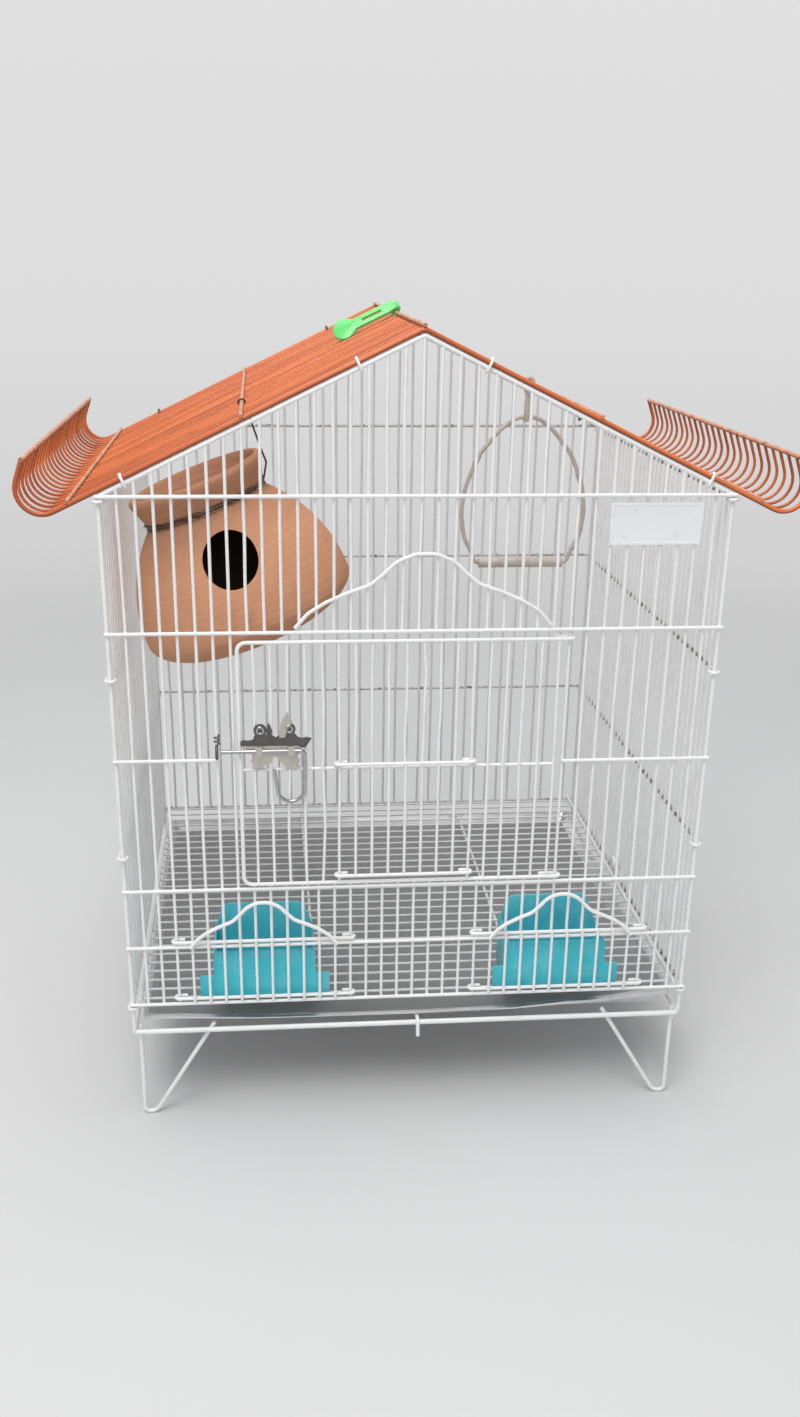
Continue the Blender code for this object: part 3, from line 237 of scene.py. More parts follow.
photo_width, photo_height, focal = 800.0, 1417.0, 1360.3
deselect()
bpy.ops.object.camera_add(location=(-0.1056, -1.0919, 0.6197))
camera = bpy.context.object
camera.name = "camera"
yaw, pitch, roll = math.radians(-5.36), math.radians(-22.84), math.radians(0.69)
level = Matrix.Rotation(yaw, 3, "Z") @ Matrix.Rotation(math.pi / 2 + pitch, 3, "X")
camera.rotation_euler = (level @ Matrix.Rotation(roll, 3, "Z")).to_euler()
camera.data.sensor_width = 36.0
camera.data.lens = focal / photo_height * camera.data.sensor_width
camera.data.shift_x = (photo_width / 2 - 386.0) / photo_height
camera.data.shift_y = (827.1 - photo_height / 2) / photo_height
camera.data.clip_start = 0.02
bpy.context.scene.camera = camera


# The base ring is a thick coated wire welded into an oblong, and a thinner wire hooked over its
# front and back carries the middle of the tray. Four bent wire feet clip in at its corners.

X, Y, Z = (1, 0, 0), (0, 1, 0), (0, 0, 1)
gap, bite, border_bend = 0.0003, 0.00025, 0.003
half_w, front_y, back_y = 0.210, -0.190625, 0.199375
ring_z, ring_r = 0.075, 0.0020


def bent(corners, radius, closed=False):
    """The points of a wire's run, with its corners bent to a radius."""
    corners = [Vector(corner) for corner in corners]
    points = []
    for k, corner in enumerate(corners):
        if radius == 0 or (not closed and k in (0, len(corners) - 1)):
            points.append(corner)
            continue
        back = corners[k - 1] - corner
        ahead = corners[(k + 1) % len(corners)] - corner
        turn = math.pi - back.angle(ahead)
        if turn < 0.03:
            points.append(corner)
            continue
        reach = min(radius * math.tan(turn / 2), 0.45 * back.length, 0.45 * ahead.length)
        inner = reach / math.tan(turn / 2)
        way_in = (back.normalized() + ahead.normalized()).normalized()
        middle = corner + way_in * math.hypot(reach, inner)
        start = (corner + back.normalized() * reach - middle).normalized()
        end = (corner + ahead.normalized() * reach - middle).normalized()
        steps = max(2, math.ceil(turn / math.radians(14)))
        for n in range(steps + 1):
            points.append(middle + start.slerp(end, n / steps) * inner)
    return points


def arc(middle, radius, start, end, across, along, steps=8):
    """Points round a hook, from one angle to another."""
    points = []
    for n in range(steps + 1):
        angle = start + (end - start) * n / steps
        reach = math.cos(angle) * Vector(across) + math.sin(angle) * Vector(along)
        points.append(Vector(middle) + radius * reach)
    return points


def draw_wires(name, groups, closed=False, resolution=4):
    """Round wires drawn along their runs: each group is a radius, a bend radius and its runs."""
    drawn = []
    for radius, bend, runs in groups:
        deselect()
        bpy.ops.curve.primitive_nurbs_path_add()
        path = bpy.context.object
        path.data.splines.clear()
        path.data.dimensions = "3D"
        for run in runs:
            points = bent(run, bend, closed)
            spline = path.data.splines.new("POLY")
            spline.points.add(len(points) - 1)
            for spot, point in zip(spline.points, points):
                spot.co = (*point, 1.0)
            spline.use_cyclic_u = closed
        path.data.bevel_depth = radius
        path.data.bevel_resolution = resolution
        path.data.use_fill_caps = not closed
        bpy.ops.object.convert(target="MESH")
        drawn.append(bpy.context.object)
    return join(name, drawn)


def join(name, pieces, angle=50):
    """Several meshes made one piece, smooth over its soft edges."""
    deselect()
    for piece in pieces:
        piece.select_set(True)
    bpy.context.view_layer.objects.active = pieces[0]
    if len(pieces) > 1:
        bpy.ops.object.join()
    bpy.ops.object.transform_apply(location=True, rotation=True, scale=True)
    bpy.ops.object.shade_smooth_by_angle(angle=math.radians(angle))
    piece = bpy.context.object
    piece.name = name
    piece.data.name = name
    return piece


def coat(piece, *finishes):
    """Give a piece its finishes. What has no finish of its own takes the first one."""
    for finish in finishes:
        piece.data.materials.append(finish.material)
    return piece


def fit(piece, body, slot, *nodes):
    """Put a finished piece in place of its CAD nodes, on the body that carries it."""
    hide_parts(*nodes)
    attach(piece, body)


white_coat = Finish("white_powder_coat", Specular_IOR_Level=0.45)
coat_dust = white_coat.noise(42.0, 6.0, 0.65).above(0.62, 0.22)
coat_chip = white_coat.noise(150.0, 3.0, 0.5).above(0.790, 0.03)
white_coat.paint(white_coat.noise(9.0, 5.0, 0.6), ((0.89, 0.89, 0.885), (0.94, 0.94, 0.935)),
                 (coat_dust * 0.45, (0.70, 0.68, 0.64)), (coat_chip, (0.24, 0.17, 0.12)))
white_coat.set("Roughness", 0.30 + coat_dust * 0.25 + coat_chip * 0.2)
white_coat.bump(white_coat.noise(700.0, 3.0) + coat_chip * -2.0, 0.00012)

carrier_r, carrier_x, carrier_tail = 0.0015, 0.005, 0.0095
hook_r = ring_r + carrier_r - bite
ring_plan = ((-half_w, front_y), (half_w, front_y), (half_w, back_y), (-half_w, back_y))
ring_corners = [(x, y, ring_z) for x, y in ring_plan]
ring = draw_wires("ring_wire", [(ring_r, border_bend, [ring_corners])], closed=True)
carrier_run = [(carrier_x, front_y - hook_r - carrier_r, ring_z - carrier_tail)]
carrier_run += arc((carrier_x, front_y, ring_z), hook_r, math.pi, math.pi / 2, Y, Z)
carrier_run += arc((carrier_x, back_y, ring_z), hook_r, math.pi / 2, 0, Y, Z)
carrier_run.append((carrier_x, back_y + hook_r, ring_z - carrier_tail / 2))
carrier = draw_wires("tray_carrier", [(carrier_r, 0, [carrier_run])])
base = coat(join("base_ring_wires", [ring, carrier]), white_coat)
fit(base, "cage", "white_wire", "base_ring")

foot_r, foot_bend = 0.0016, 0.009
leg_x, toe_out, toe_in, tip_x = half_w - 0.004, half_w - 0.0035, half_w - 0.0125, half_w - 0.060
tip_rise, collar_r, collar_tall, collar_edge = 0.004, 0.0036, 0.003, 0.0009
for depth, y_side, edge in (("front", -1, front_y), ("back", 1, back_y)):
    for flank, x_side in (("left", -1), ("right", 1)):
        foot_y = edge - y_side * (ring_r + foot_r + gap)
        run = [(leg_x, ring_z + ring_r + foot_r), (leg_x, ring_z / 2), (toe_out, foot_r), (toe_in, foot_r)]
        run = [(x_side * x, foot_y, z) for x, z in run + [(tip_x, ring_z + tip_rise)]]
        wire = draw_wires("foot_wire", [(foot_r, foot_bend, [run])])
        deselect()
        spot = (x_side * leg_x, foot_y, ring_z - ring_r - gap - collar_tall / 2)
        bpy.ops.mesh.primitive_cylinder_add(vertices=28, radius=collar_r, depth=collar_tall, location=spot)
        collar = bpy.context.object
        bpy.ops.object.mode_set(mode="EDIT")
        bpy.ops.mesh.bevel(offset=collar_edge, segments=3)
        bpy.ops.object.mode_set(mode="OBJECT")
        foot = coat(join("foot_wire_" + depth + "_" + flank, [wire, collar]), white_coat)
        fit(foot, "cage", "white_wire", "foot_" + depth + "_" + flank)


# The front panel is bent and spot welded from coated wire: a border that runs up one corner post,
# over the gable and down the other, level rails outside, and 35 uprights cut away at the doors.

front_gaps = 36
pitch = 2 * half_w / front_gaps
bottom_z, feeder_z, sill_z, stub_z, head_z = 0.0995, 0.147, 0.193, 0.293, 0.3835
hinge_stub_z, eave_z, apex_z = stub_z - 0.0055, 0.474, 0.573
wire_r, rail_r, border_r = 0.0011, 0.0013, 0.0015
rail_out = wire_r + rail_r - bite
past = rail_r + 0.0005
wire_sway, gable_sway, back_sway, grid_sway = 0.0006, 0.0005, 0.0007, 0.0004
weld_r, weld_flat = 0.0014, (1.15, 1.0, 1.15)
door_wires, keeper_wire = (7, 27), 6
feeder_wires = {"left": (3, 14), "right": (22, 33)}
hook_wires = (*feeder_wires["left"], *feeder_wires["right"], *door_wires, keeper_wire)
hinge_x = -half_w + door_wires[1] * pitch
hand = random.Random(11)


def wire_x(count):
    """Place of a front or back upright, counted from the left corner post."""
    return -half_w + count * pitch


def gable_z(x):
    """Height of the gable border over a place."""
    return eave_z + (apex_z - eave_z) * (1 - abs(x) / half_w)


def border_run(y):
    """Corner posts and gable slopes, one wire."""
    low = ring_z + ring_r + gap
    return [(-half_w, y, low), (-half_w, y, eave_z), (0, y, apex_z), (half_w, y, eave_z), (half_w, y, low)]


def straightened(low, high, sway, along=X):
    """A wire that was straightened on the bench and still leans to and fro a little."""
    low, high = Vector(low), Vector(high)
    middle = []
    for share in (0.25, 0.5, 0.75):
        middle.append(low.lerp(high, share) + Vector(along) * hand.uniform(-sway, sway))
    return [low] + middle + [high]


def add_beads(piece, spots, radius, stretch=(1, 1, 1)):
    """Beads of molten coating over the spot welds."""
    pick(piece)
    bpy.ops.object.mode_set(mode="EDIT")
    for spot in spots:
        bpy.ops.mesh.primitive_ico_sphere_add(subdivisions=1, radius=radius, location=spot, scale=stretch)
    bpy.ops.object.mode_set(mode="OBJECT")
    bpy.ops.object.shade_smooth_by_angle(angle=math.radians(70))


rail_y, wide = front_y - rail_out, half_w + past
front_levels = (bottom_z, feeder_z, sill_z, head_z, eave_z)
front_rails = [[(-wide, rail_y, z), (wide, rail_y, z)] for z in front_levels]
front_rails.append([(-wide, rail_y, stub_z), (wire_x(keeper_wire) + past, rail_y, stub_z)])
front_rails.append([(hinge_x - past / 2, rail_y, hinge_stub_z), (wide, rail_y, hinge_stub_z)])
front_uprights, front_welds = [], []
for count in range(1, front_gaps):
    x = wire_x(count)
    over_door = door_wires[0] < count < door_wires[1]
    over_feeder = any(a < count < b for a, b in feeder_wires.values())
    low = (feeder_z if over_feeder else bottom_z) - past
    if over_door:
        front_uprights.append([(x, front_y, low), (x, front_y, sill_z + past)])
        front_uprights.append(straightened((x, front_y, head_z - past), (x, front_y, gable_z(x)), gable_sway))
    else:
        sway = 0.0 if count in hook_wires else wire_sway
        front_uprights.append(straightened((x, front_y, low), (x, front_y, gable_z(x)), sway))
    own_stub_z = stub_z if count <= keeper_wire else hinge_stub_z
    for z in (*front_levels, own_stub_z):
        no_wire = z == bottom_z and over_feeder
        no_rail = z == own_stub_z and door_wires[0] <= count < door_wires[1]
        if not no_wire and not no_rail and z < gable_z(x):
            front_welds.append((x, front_y - rail_out / 2, z))
front_border = (border_r, border_bend, [border_run(front_y)])
front_groups = [front_border, (rail_r, 0, front_rails), (wire_r, 0, front_uprights)]
front = coat(draw_wires("front_panel_wires", front_groups), white_coat)
add_beads(front, front_welds, weld_r, weld_flat)
fit(front, "cage", "white_wire", "front_panel")


# The back panel has the same border and uprights with no openings, and its rails lie behind them.
# Its wires are coloured greyer than the front panel's, and its rails are dotted with rust.

grey_coat = Finish("greyer_wire_coat", Specular_IOR_Level=0.4)
grey_coat.mottle((12.0, 5.0, 0.6), ((0.68, 0.685, 0.69), (0.80, 0.80, 0.80)), (50.0, 6.0, 0.65, 0.58), 0.25,
                 0.5, (0.56, 0.545, 0.52), 0.38, 0.2)
grey_coat.bump(grey_coat.noise(700.0, 3.0), 0.00012)

rusty_coat = Finish("rust_dotted_coat", Specular_IOR_Level=0.35)
rusty_coat.mottle((20.0, 5.0, 0.6), ((0.46, 0.455, 0.44), (0.70, 0.695, 0.68)), (230.0, 4.0, 0.6, 0.585),
                  0.06, 0.8, (0.15, 0.115, 0.09), 0.45, 0.3)
rusty_coat.bump(rusty_coat.noise(230.0, 4.0, 0.6).above(0.585, 0.06), 0.00015)

low_rail, high_rail = bottom_z + 0.1225, bottom_z + 0.2545
rail_y = back_y + rail_out
back_rails = [[(-wide, rail_y, z), (wide, rail_y, z)] for z in (bottom_z, low_rail, high_rail, eave_z)]
back_uprights, back_welds = [], []
for count in range(1, front_gaps):
    x = wire_x(count)
    back_uprights.append(straightened((x, back_y, bottom_z - past), (x, back_y, gable_z(x)), back_sway))
    back_welds += [(x, back_y + rail_out / 2, z) for z in (low_rail, high_rail, eave_z) if z < gable_z(x)]
back_groups = [(border_r, border_bend, [border_run(back_y)]), (wire_r, 0, back_uprights)]
back_lattice = coat(draw_wires("back_lattice", back_groups), grey_coat)
back_rail = coat(draw_wires("back_rails", [(rail_r, 0, back_rails)]), rusty_coat)
add_beads(back_rail, back_welds, weld_r, weld_flat)
back = join("back_panel_wires", [back_lattice, back_rail])
fit(back, "cage", "white_wire", "back_panel")


# Each side panel hangs between the corner posts: its rails end in hooks that are pressed round the
# posts by hand, which is how such a cage is put together and folded flat again.

side_gaps = 33
side_pitch = (back_y - front_y) / side_gaps
rail_drop = 2 * rail_r + 2 * gap
post_hook_r, post_hook_tail = border_r + gap + rail_r, 0.0026
rail_lead = 3 * border_r + 2 * rail_r


def post_hook(side, y, inward, z):
    """A rail's end, hooked round a corner post."""
    points = arc((side * half_w, y, z), post_hook_r, 0, -math.pi, (side, 0, 0), (0, inward, 0))
    return points + [Vector((side * (half_w - post_hook_r), y + inward * post_hook_tail, z))]


# Painted shade and rust: the side rails are painted grey in their middle, away from the corner posts, and the
# dark dots there are rust spots and painted shade.
side_coat = Finish("side_rail_coat", Specular_IOR_Level=0.4)
side_shade_end_y, side_shade_fade = 0.176, 0.008
side_y = side_coat.along(1)
side_rail_shade_and_rust = (side_shade_end_y - side_y.math("ABSOLUTE", side_y, 0)).above(0.0, side_shade_fade)
side_rust_and_shade_dot = side_coat.noise(210.0, 4.0, 0.6).above(0.50, 0.10)
side_coat.paint(side_rail_shade_and_rust, ((0.84, 0.84, 0.835), (0.50, 0.49, 0.475)),
                (side_rail_shade_and_rust * side_rust_and_shade_dot, (0.17, 0.14, 0.115)))
side_coat.set("Roughness", 0.35 + side_rust_and_shade_dot * 0.3)
side_coat.bump(side_rust_and_shade_dot, 0.00012)

for name, side in (("left", -1), ("right", 1)):
    rail_x = side * (half_w + rail_out)
    rails, uprights, welds = [], [], []
    for height in (bottom_z, low_rail, high_rail, eave_z):
        z = height - rail_drop
        run = list(reversed(post_hook(side, front_y, 1, z)))
        run += [(rail_x, front_y + rail_lead, z), (rail_x, back_y - rail_lead, z)]
        rails.append(run + post_hook(side, back_y, -1, z))
        welds += [(rail_x - side * rail_out / 2, front_y + n * side_pitch, z) for n in range(1, side_gaps)]
    for n in range(1, side_gaps):
        y = front_y + n * side_pitch
        low = (side * half_w, y, bottom_z - rail_drop - past)
        high = (side * half_w, y, eave_z - rail_drop + past)
        uprights.append(straightened(low, high, wire_sway, Y))
    lattice = coat(draw_wires("side_lattice", [(wire_r, 0, uprights)]), white_coat)
    side_rails = coat(draw_wires("side_rails", [(rail_r, 0, rails)]), side_coat)
    add_beads(side_rails, welds, weld_r, (1.0, 1.15, 1.15))
    panel = join("side_panel_wires_" + name, [lattice, side_rails])
    fit(panel, "cage", "white_wire", name + "_side_panel")


# The floor grid is a lift-out mat of thin cross wires under two side wires that rest on the bottom
# rails, with two stiffening wires below. Droppings fall through it into the tray.

grid_border_z = bottom_z + rail_r + border_r + gap
grid_wire_r, grid_support_r = 0.0010, 0.0012
grid_z = grid_border_z - border_r - grid_wire_r + bite
support_z = grid_z - grid_wire_r - grid_support_r + bite
grid_edge = half_w - pitch / 2
grid_first, grid_last, grid_count, grid_support_x = front_y + 0.006, back_y - 0.005, 28, (-0.072, 0.085)
grid_step = (grid_last - grid_first) / (grid_count - 1)
grid_cross, grid_end, grid_past = [], grid_edge + 0.0008, 0.0022
for n in range(grid_count):
    y = grid_first + n * grid_step
    grid_cross.append(straightened((-grid_end, y, grid_z), (grid_end, y, grid_z), grid_sway, Y))
grid_sides = [[(x, front_y - grid_past, grid_border_z), (x, back_y + grid_past, grid_border_z)]
              for x in (-grid_edge, grid_edge)]
grid_supports = [[(x, grid_first - past, support_z), (x, grid_last + past, support_z)]
                 for x in grid_support_x]
grid_groups = [(border_r, 0, grid_sides), (grid_wire_r, 0, grid_cross), (grid_support_r, 0, grid_supports)]
grid = coat(draw_wires("floor_grid_wires", grid_groups), grey_coat)
fit(grid, "cage", "white_wire", "floor_grid")


# The slide-out tray is folded from thin galvanised sheet, dulled by dust where the litter lies. Its
# front lip has sagged between its corners from being pulled. It stands on the ring's middle wire.

zinc = Finish("galvanised_sheet", Metallic=1.0)
zinc_flake = zinc.add("ShaderNodeTexVoronoi", {}, {"Vector": zinc.place, "Scale": 90.0}, "Color")
zinc_tone = zinc.add("ShaderNodeSeparateColor", {}, {0: zinc_flake})
zinc_stain = zinc.noise(14.0, 6.0, 0.62).above(0.56, 0.3)
zinc.paint(zinc_tone * 0.5, ((0.72, 0.72, 0.73), (0.88, 0.88, 0.89)), (zinc_stain * 0.45, (0.40, 0.39, 0.38)))
zinc.set("Roughness", 0.26 + zinc_tone * 0.10 + zinc_stain * 0.20)
zinc_wave = zinc.noise(1.0, 2.0, 0.5, zinc.stretch((5, 30, 60)))
zinc.bump(zinc_wave + zinc.noise(300.0, 3.0) * 0.03, 0.0015, 0.6)

dusty = Finish("dusty_tray_floor", Metallic=0.25)
dusty_cloud = dusty.noise(10.0, 6.0, 0.6)
dusty_speck = dusty.noise(260.0, 4.0, 0.6).above(0.66, 0.05)
dusty_husk = dusty.noise(95.0, 3.0, 0.5).above(0.72, 0.03)
dusty.paint(dusty_cloud, ((0.21, 0.212, 0.215), (0.34, 0.342, 0.34)), (dusty_speck * 0.6, (0.10, 0.09, 0.08)),
            (dusty_husk, (0.46, 0.38, 0.30)))
dusty.set("Roughness", 0.50 + dusty_speck * 0.3)
dusty.bump(dusty_cloud + dusty_husk * 0.5, 0.0006)


def apply(piece, kind, **settings):
    """Apply one modifier to a piece."""
    pick(piece)
    step = piece.modifiers.new(kind.lower(), kind)
    for name, value in settings.items():
        setattr(step, name, value)
    bpy.ops.object.modifier_apply(modifier=step.name)


def soften(piece, width, segments=3, angle=30):
    """Round a solid's edges by bevelling them."""
    apply(piece, "BEVEL", width=width, segments=segments, limit_method="ANGLE",
          angle_limit=math.radians(angle))
    return piece


tray_low, tray_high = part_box("tray")
tray_taper, tray_lip, tray_hem, tray_sheet_t = 0.007, 0.003, 0.0028, 0.0006
tray_corner, tray_fold = 0.004, 0.0004
tray_mid = (tray_low + tray_high) / 2
flat_x, flat_y = tray_high.x - tray_low.x - 2 * tray_taper, tray_high.y - tray_low.y - 2 * tray_taper
deselect()
bpy.ops.mesh.primitive_plane_add(size=1, location=(tray_mid.x, tray_mid.y, tray_low.z))
tray = bpy.context.object
tray.scale = (flat_x, flat_y, 1)
bpy.ops.object.transform_apply(location=True, rotation=False, scale=True)
bpy.ops.object.mode_set(mode="EDIT")
bpy.ops.mesh.select_mode(type="VERT")
bpy.ops.mesh.select_all(action="SELECT")
bpy.ops.mesh.bevel(offset=tray_corner, segments=6, affect="VERTICES")
select_edges(tray.data, lambda a, b: (a - b).length > 0.1)
bpy.ops.mesh.subdivide(number_cuts=19)
bpy.ops.mesh.select_all(action="SELECT")
bpy.ops.mesh.extrude_region_move(TRANSFORM_OT_translate={"value": (0, 0, tray_high.z - tray_low.z)})
wall_out = [1 + 2 * (tray_taper - tray_lip) / side for side in (flat_x, flat_y)]
bpy.ops.transform.resize(value=(*wall_out, 1), center_override=(tray_mid.x, tray_mid.y, tray_high.z))
bpy.ops.mesh.delete(type="ONLY_FACE")
select_edges(tray.data, lambda a, b: min(a.z, b.z) > tray_high.z - 0.0001)
bpy.ops.mesh.extrude_edges_move(TRANSFORM_OT_translate={"value": (0, 0, 0)})
lip_out = [1 + 2 * tray_lip / (side + 2 * (tray_taper - tray_lip)) for side in (flat_x, flat_y)]
bpy.ops.transform.resize(value=(*lip_out, 1), center_override=(tray_mid.x, tray_mid.y, tray_high.z))
bpy.ops.mesh.extrude_edges_move(TRANSFORM_OT_translate={"value": (0, 0, -tray_hem)})
bpy.ops.object.mode_set(mode="OBJECT")

front_lip = ((-0.203, -0.0042), (-0.10, -0.0086), (0.0, -0.0090), (0.07, -0.0080), (0.13, -0.0038),
             (0.203, 0.0035))
for vertex in tray.data.vertices:
    reach = min(1.0, (tray_high.y - vertex.co.y) / (tray_high.y - tray_low.y)) ** 2
    height = (vertex.co.z - tray_low.z) / (tray_high.z - tray_low.z)
    for (x0, drop0), (x1, drop1) in zip(front_lip, front_lip[1:]):
        if x0 <= vertex.co.x <= x1:
            share = (vertex.co.x - x0) / (x1 - x0)
            ease = share * share * (3 - 2 * share)
            vertex.co.z += (drop0 + (drop1 - drop0) * ease) * reach * min(height, 1.0)
apply(tray, "SOLIDIFY", thickness=tray_sheet_t, offset=-1)
coat(soften(tray, tray_fold, 2, 35), zinc, dusty)
for face in tray.data.polygons:
    face.material_index = int(face.normal.z > 0.9 and face.center.z < tray_low.z + 0.002)
tray = join("tray_sheet", [tray], 35)
fit(tray, "tray", "tray_sheet", "tray")


# The feeder doors are small welded lattices whose top and bottom rails hook round two uprights of
# the front panel, so that they lift straight up. A thicker wire bowed in steps is their handle.

door_wire_r, handle_r, feeder_rise, lift_tail, handle_bend = 0.00105, 0.0014, 0.036, 0.006, 0.012


def lift_rail(left, right, y, radius, tail, z):
    """A rail hooked round two uprights, its ends turned back behind them."""
    run = [Vector((right - tail, y + radius, z))]
    run += arc((right, y, z), radius, math.pi / 2, -math.pi / 2, X, Y)
    run += arc((left, y, z), radius, -math.pi / 2, math.pi / 2, (-1, 0, 0), Y)
    return run + [Vector((left + tail, y + radius, z))]


def stepped_bow(middle, half, base, rise, y):
    """The bow of the handles and of the crest: feet, two shoulders and a rounded crown."""
    shape = ((1.0, 0.0), (0.90, 0.20), (0.76, 0.35), (0.60, 0.47), (0.42, 0.58), (0.31, 0.74), (0.22, 0.89),
             (0.08, 0.99))
    right = [Vector((middle + half * u, y, base + rise * v)) for u, v in shape]
    left = [Vector((2 * middle - point.x, y, point.z)) for point in right]
    return left + list(reversed(right))


lift_hook_r = wire_r + gap + rail_r
feeder_low, feeder_high, bead_out, bead_r = bottom_z + 0.0045, feeder_z + 0.004, 0.0008, 0.0013
feeder_y = front_y - rail_out - rail_r - gap - door_wire_r
for name, (first, last) in feeder_wires.items():
    left, right = wire_x(first), wire_x(last)
    rails = [lift_rail(left, right, front_y, lift_hook_r, lift_tail, z) for z in (feeder_low, feeder_high)]
    uprights = [[(wire_x(n), feeder_y, feeder_low - past), (wire_x(n), feeder_y, feeder_high + past)]
                for n in range(first + 1, last)]
    handle_y = feeder_y - door_wire_r - handle_r + bite
    bow = stepped_bow((left + right) / 2, (right - left) / 2 - pitch + handle_r, feeder_high - 2 * rail_r,
                      feeder_rise, handle_y)
    groups = [(rail_r, 0, rails), (door_wire_r, 0, uprights), (handle_r, handle_bend, [bow])]
    door = coat(draw_wires("feeder_door_wires_" + name, groups), white_coat)
    welds = [(wire_x(n), feeder_y + bead_out, z)
             for n in range(first + 1, last) for z in (feeder_low, feeder_high)]
    add_beads(door, welds, bead_r)
    fit(door, "feeder_door_" + name, "white_wire", "feeder_door_" + name)


# The two seed cups are moulded in turquoise plastic. A low flange stops each behind its door, and
# the tall rounded back keeps the husks off the cage floor.

turquoise = Finish("turquoise_plastic", Coat_Weight=0.12, Coat_Roughness=0.25, Subsurface_Weight=0.05)
turquoise.mottle((26.0, 4.0), ((0.035, 0.500, 0.600), (0.065, 0.590, 0.690)), (60.0, 6.0, 0.7, 0.60), 0.25,
                 0.35, (0.34, 0.70, 0.76), 0.33, 0.25)
turquoise.bump(turquoise.noise(420.0, 3.0), 0.00015)


def block(low, high):
    """A block between two corners, ready to be cut or joined."""
    deselect()
    middle = [(a + b) / 2 for a, b in zip(low, high)]
    bpy.ops.mesh.primitive_cube_add(size=1, location=middle, scale=[b - a for a, b in zip(low, high)])
    bpy.ops.object.transform_apply(location=True, rotation=True, scale=True)
    return bpy.context.object


def facing(u, v, w):
    """A place on an outline drawn from the front: across, up and back."""
    return Vector((u, w, v))


def slab(outline, low, high, place=facing):
    """A flat solid: an outline filled, then drawn out between two levels."""
    deselect()
    bpy.ops.mesh.primitive_circle_add(vertices=len(outline), radius=0.01, fill_type="NGON")
    piece = bpy.context.object
    for vertex, (u, v) in zip(piece.data.vertices, outline):
        vertex.co = place(u, v, low)
    bpy.ops.object.mode_set(mode="EDIT")
    bpy.ops.mesh.select_mode(type="VERT")
    bpy.ops.mesh.select_all(action="SELECT")
    bpy.ops.mesh.extrude_region_move(TRANSFORM_OT_translate={"value": place(0, 0, high) - place(0, 0, low)})
    bpy.ops.mesh.select_all(action="SELECT")
    bpy.ops.mesh.normals_make_consistent(inside=False)
    bpy.ops.object.mode_set(mode="OBJECT")
    return piece


across_turn, depth_turn = (0, math.pi / 2, 0), (math.pi / 2, 0, 0)


def rod(middle, radius, length, turn, sides=32):
    """A round bar or bore about a middle, turned to lie across the cage or from front to back."""
    deselect()
    bpy.ops.mesh.primitive_cylinder_add(vertices=sides, radius=radius, depth=length, location=middle,
                                        rotation=turn)
    bpy.ops.object.transform_apply(location=True, rotation=True, scale=True)
    return bpy.context.object


def cut(piece, tool, operation="DIFFERENCE"):
    """Cut or join one solid with another, and throw the tool away."""
    apply(piece, "BOOLEAN", object=tool, operation=operation, solver="EXACT")
    bpy.data.objects.remove(tool)


cup_wall, cup_half, cup_deep, cup_lip = 0.0018, 0.038, 0.046, 0.0370
cup_top_half, cup_round, cup_ledge, cup_step = 0.0335, 0.009, 0.011, 0.005
just_past, well_past = 0.001, 0.01
flange_half, flange_t, flange_tall = 0.0485, 0.0022, 0.0175
for name, (first, last) in feeder_wires.items():
    middle = (wire_x(first) + wire_x(last)) / 2
    cup_low, cup_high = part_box("feeder_cup_" + name)
    base, top, front_face = cup_low.z, cup_high.z, cup_low.y
    body, rear, lip = front_face + flange_t / 2, front_face + cup_deep, base + cup_lip
    side_view = [(body, base), (rear, base), (rear, top), (rear - 2 * cup_wall, top),
                 (body + cup_ledge, lip), (body, lip)]
    cup = slab(side_view, middle - cup_half, middle + cup_half, lambda u, v, w: Vector((w, u, v)))
    corner = Vector((cup_top_half - cup_round, 0, top - cup_round))
    shoulder = arc(corner, cup_round, 0, math.pi / 2, X, Z, 7)
    shoulder = [(point.x, point.z) for point in shoulder]
    half_view = [(cup_half + just_past, base - just_past), (cup_half + just_past, lip - cup_step)] + shoulder
    outline = [(middle + u, v) for u, v in half_view] + [(middle - u, v) for u, v in reversed(half_view)]
    cut(cup, slab(outline, body - well_past, rear + well_past), "INTERSECT")
    hollow = block((middle - cup_half + cup_wall, body + cup_wall, base + cup_wall),
                   (middle + cup_half - cup_wall, rear - cup_wall, top + well_past))
    cut(cup, hollow)
    flange = block((middle - flange_half, front_face, base),
                   (middle + flange_half, front_face + flange_t, base + flange_tall))
    cut(cup, flange, "UNION")
    soften(cup, 0.0005)
    cup = coat(join("seed_cup_" + name, [cup], 40), turquoise)
    fit(cup, "cage", "cyan_plastic", "feeder_cup_" + name)


# The main door is one thick wire bent into a frame, its two ends hooked round a long upright as a
# hinge, with nineteen thin uprights and a mid rail. A lift-up door for one bird slides on it.

door_left, door_foot, door_head, door_rail = -0.12403, 0.197, 0.377, 0.285
door_r, door_rail_r = 0.0014, 0.0012
door_y = front_y - (wire_r + gap + door_r)
door_first, door_count, door_last_in = hinge_x - 0.0075, 19, 0.0104
door_step = (door_first - door_left - door_last_in) / (door_count - 1)
small_wires, bent_wires, bent_sway, door_sway = (5, 13), (8, 14), 0.0018, 0.0008


def door_wire(count):
    """Place of a door upright, counted from the hinge."""
    return door_first - count * door_step


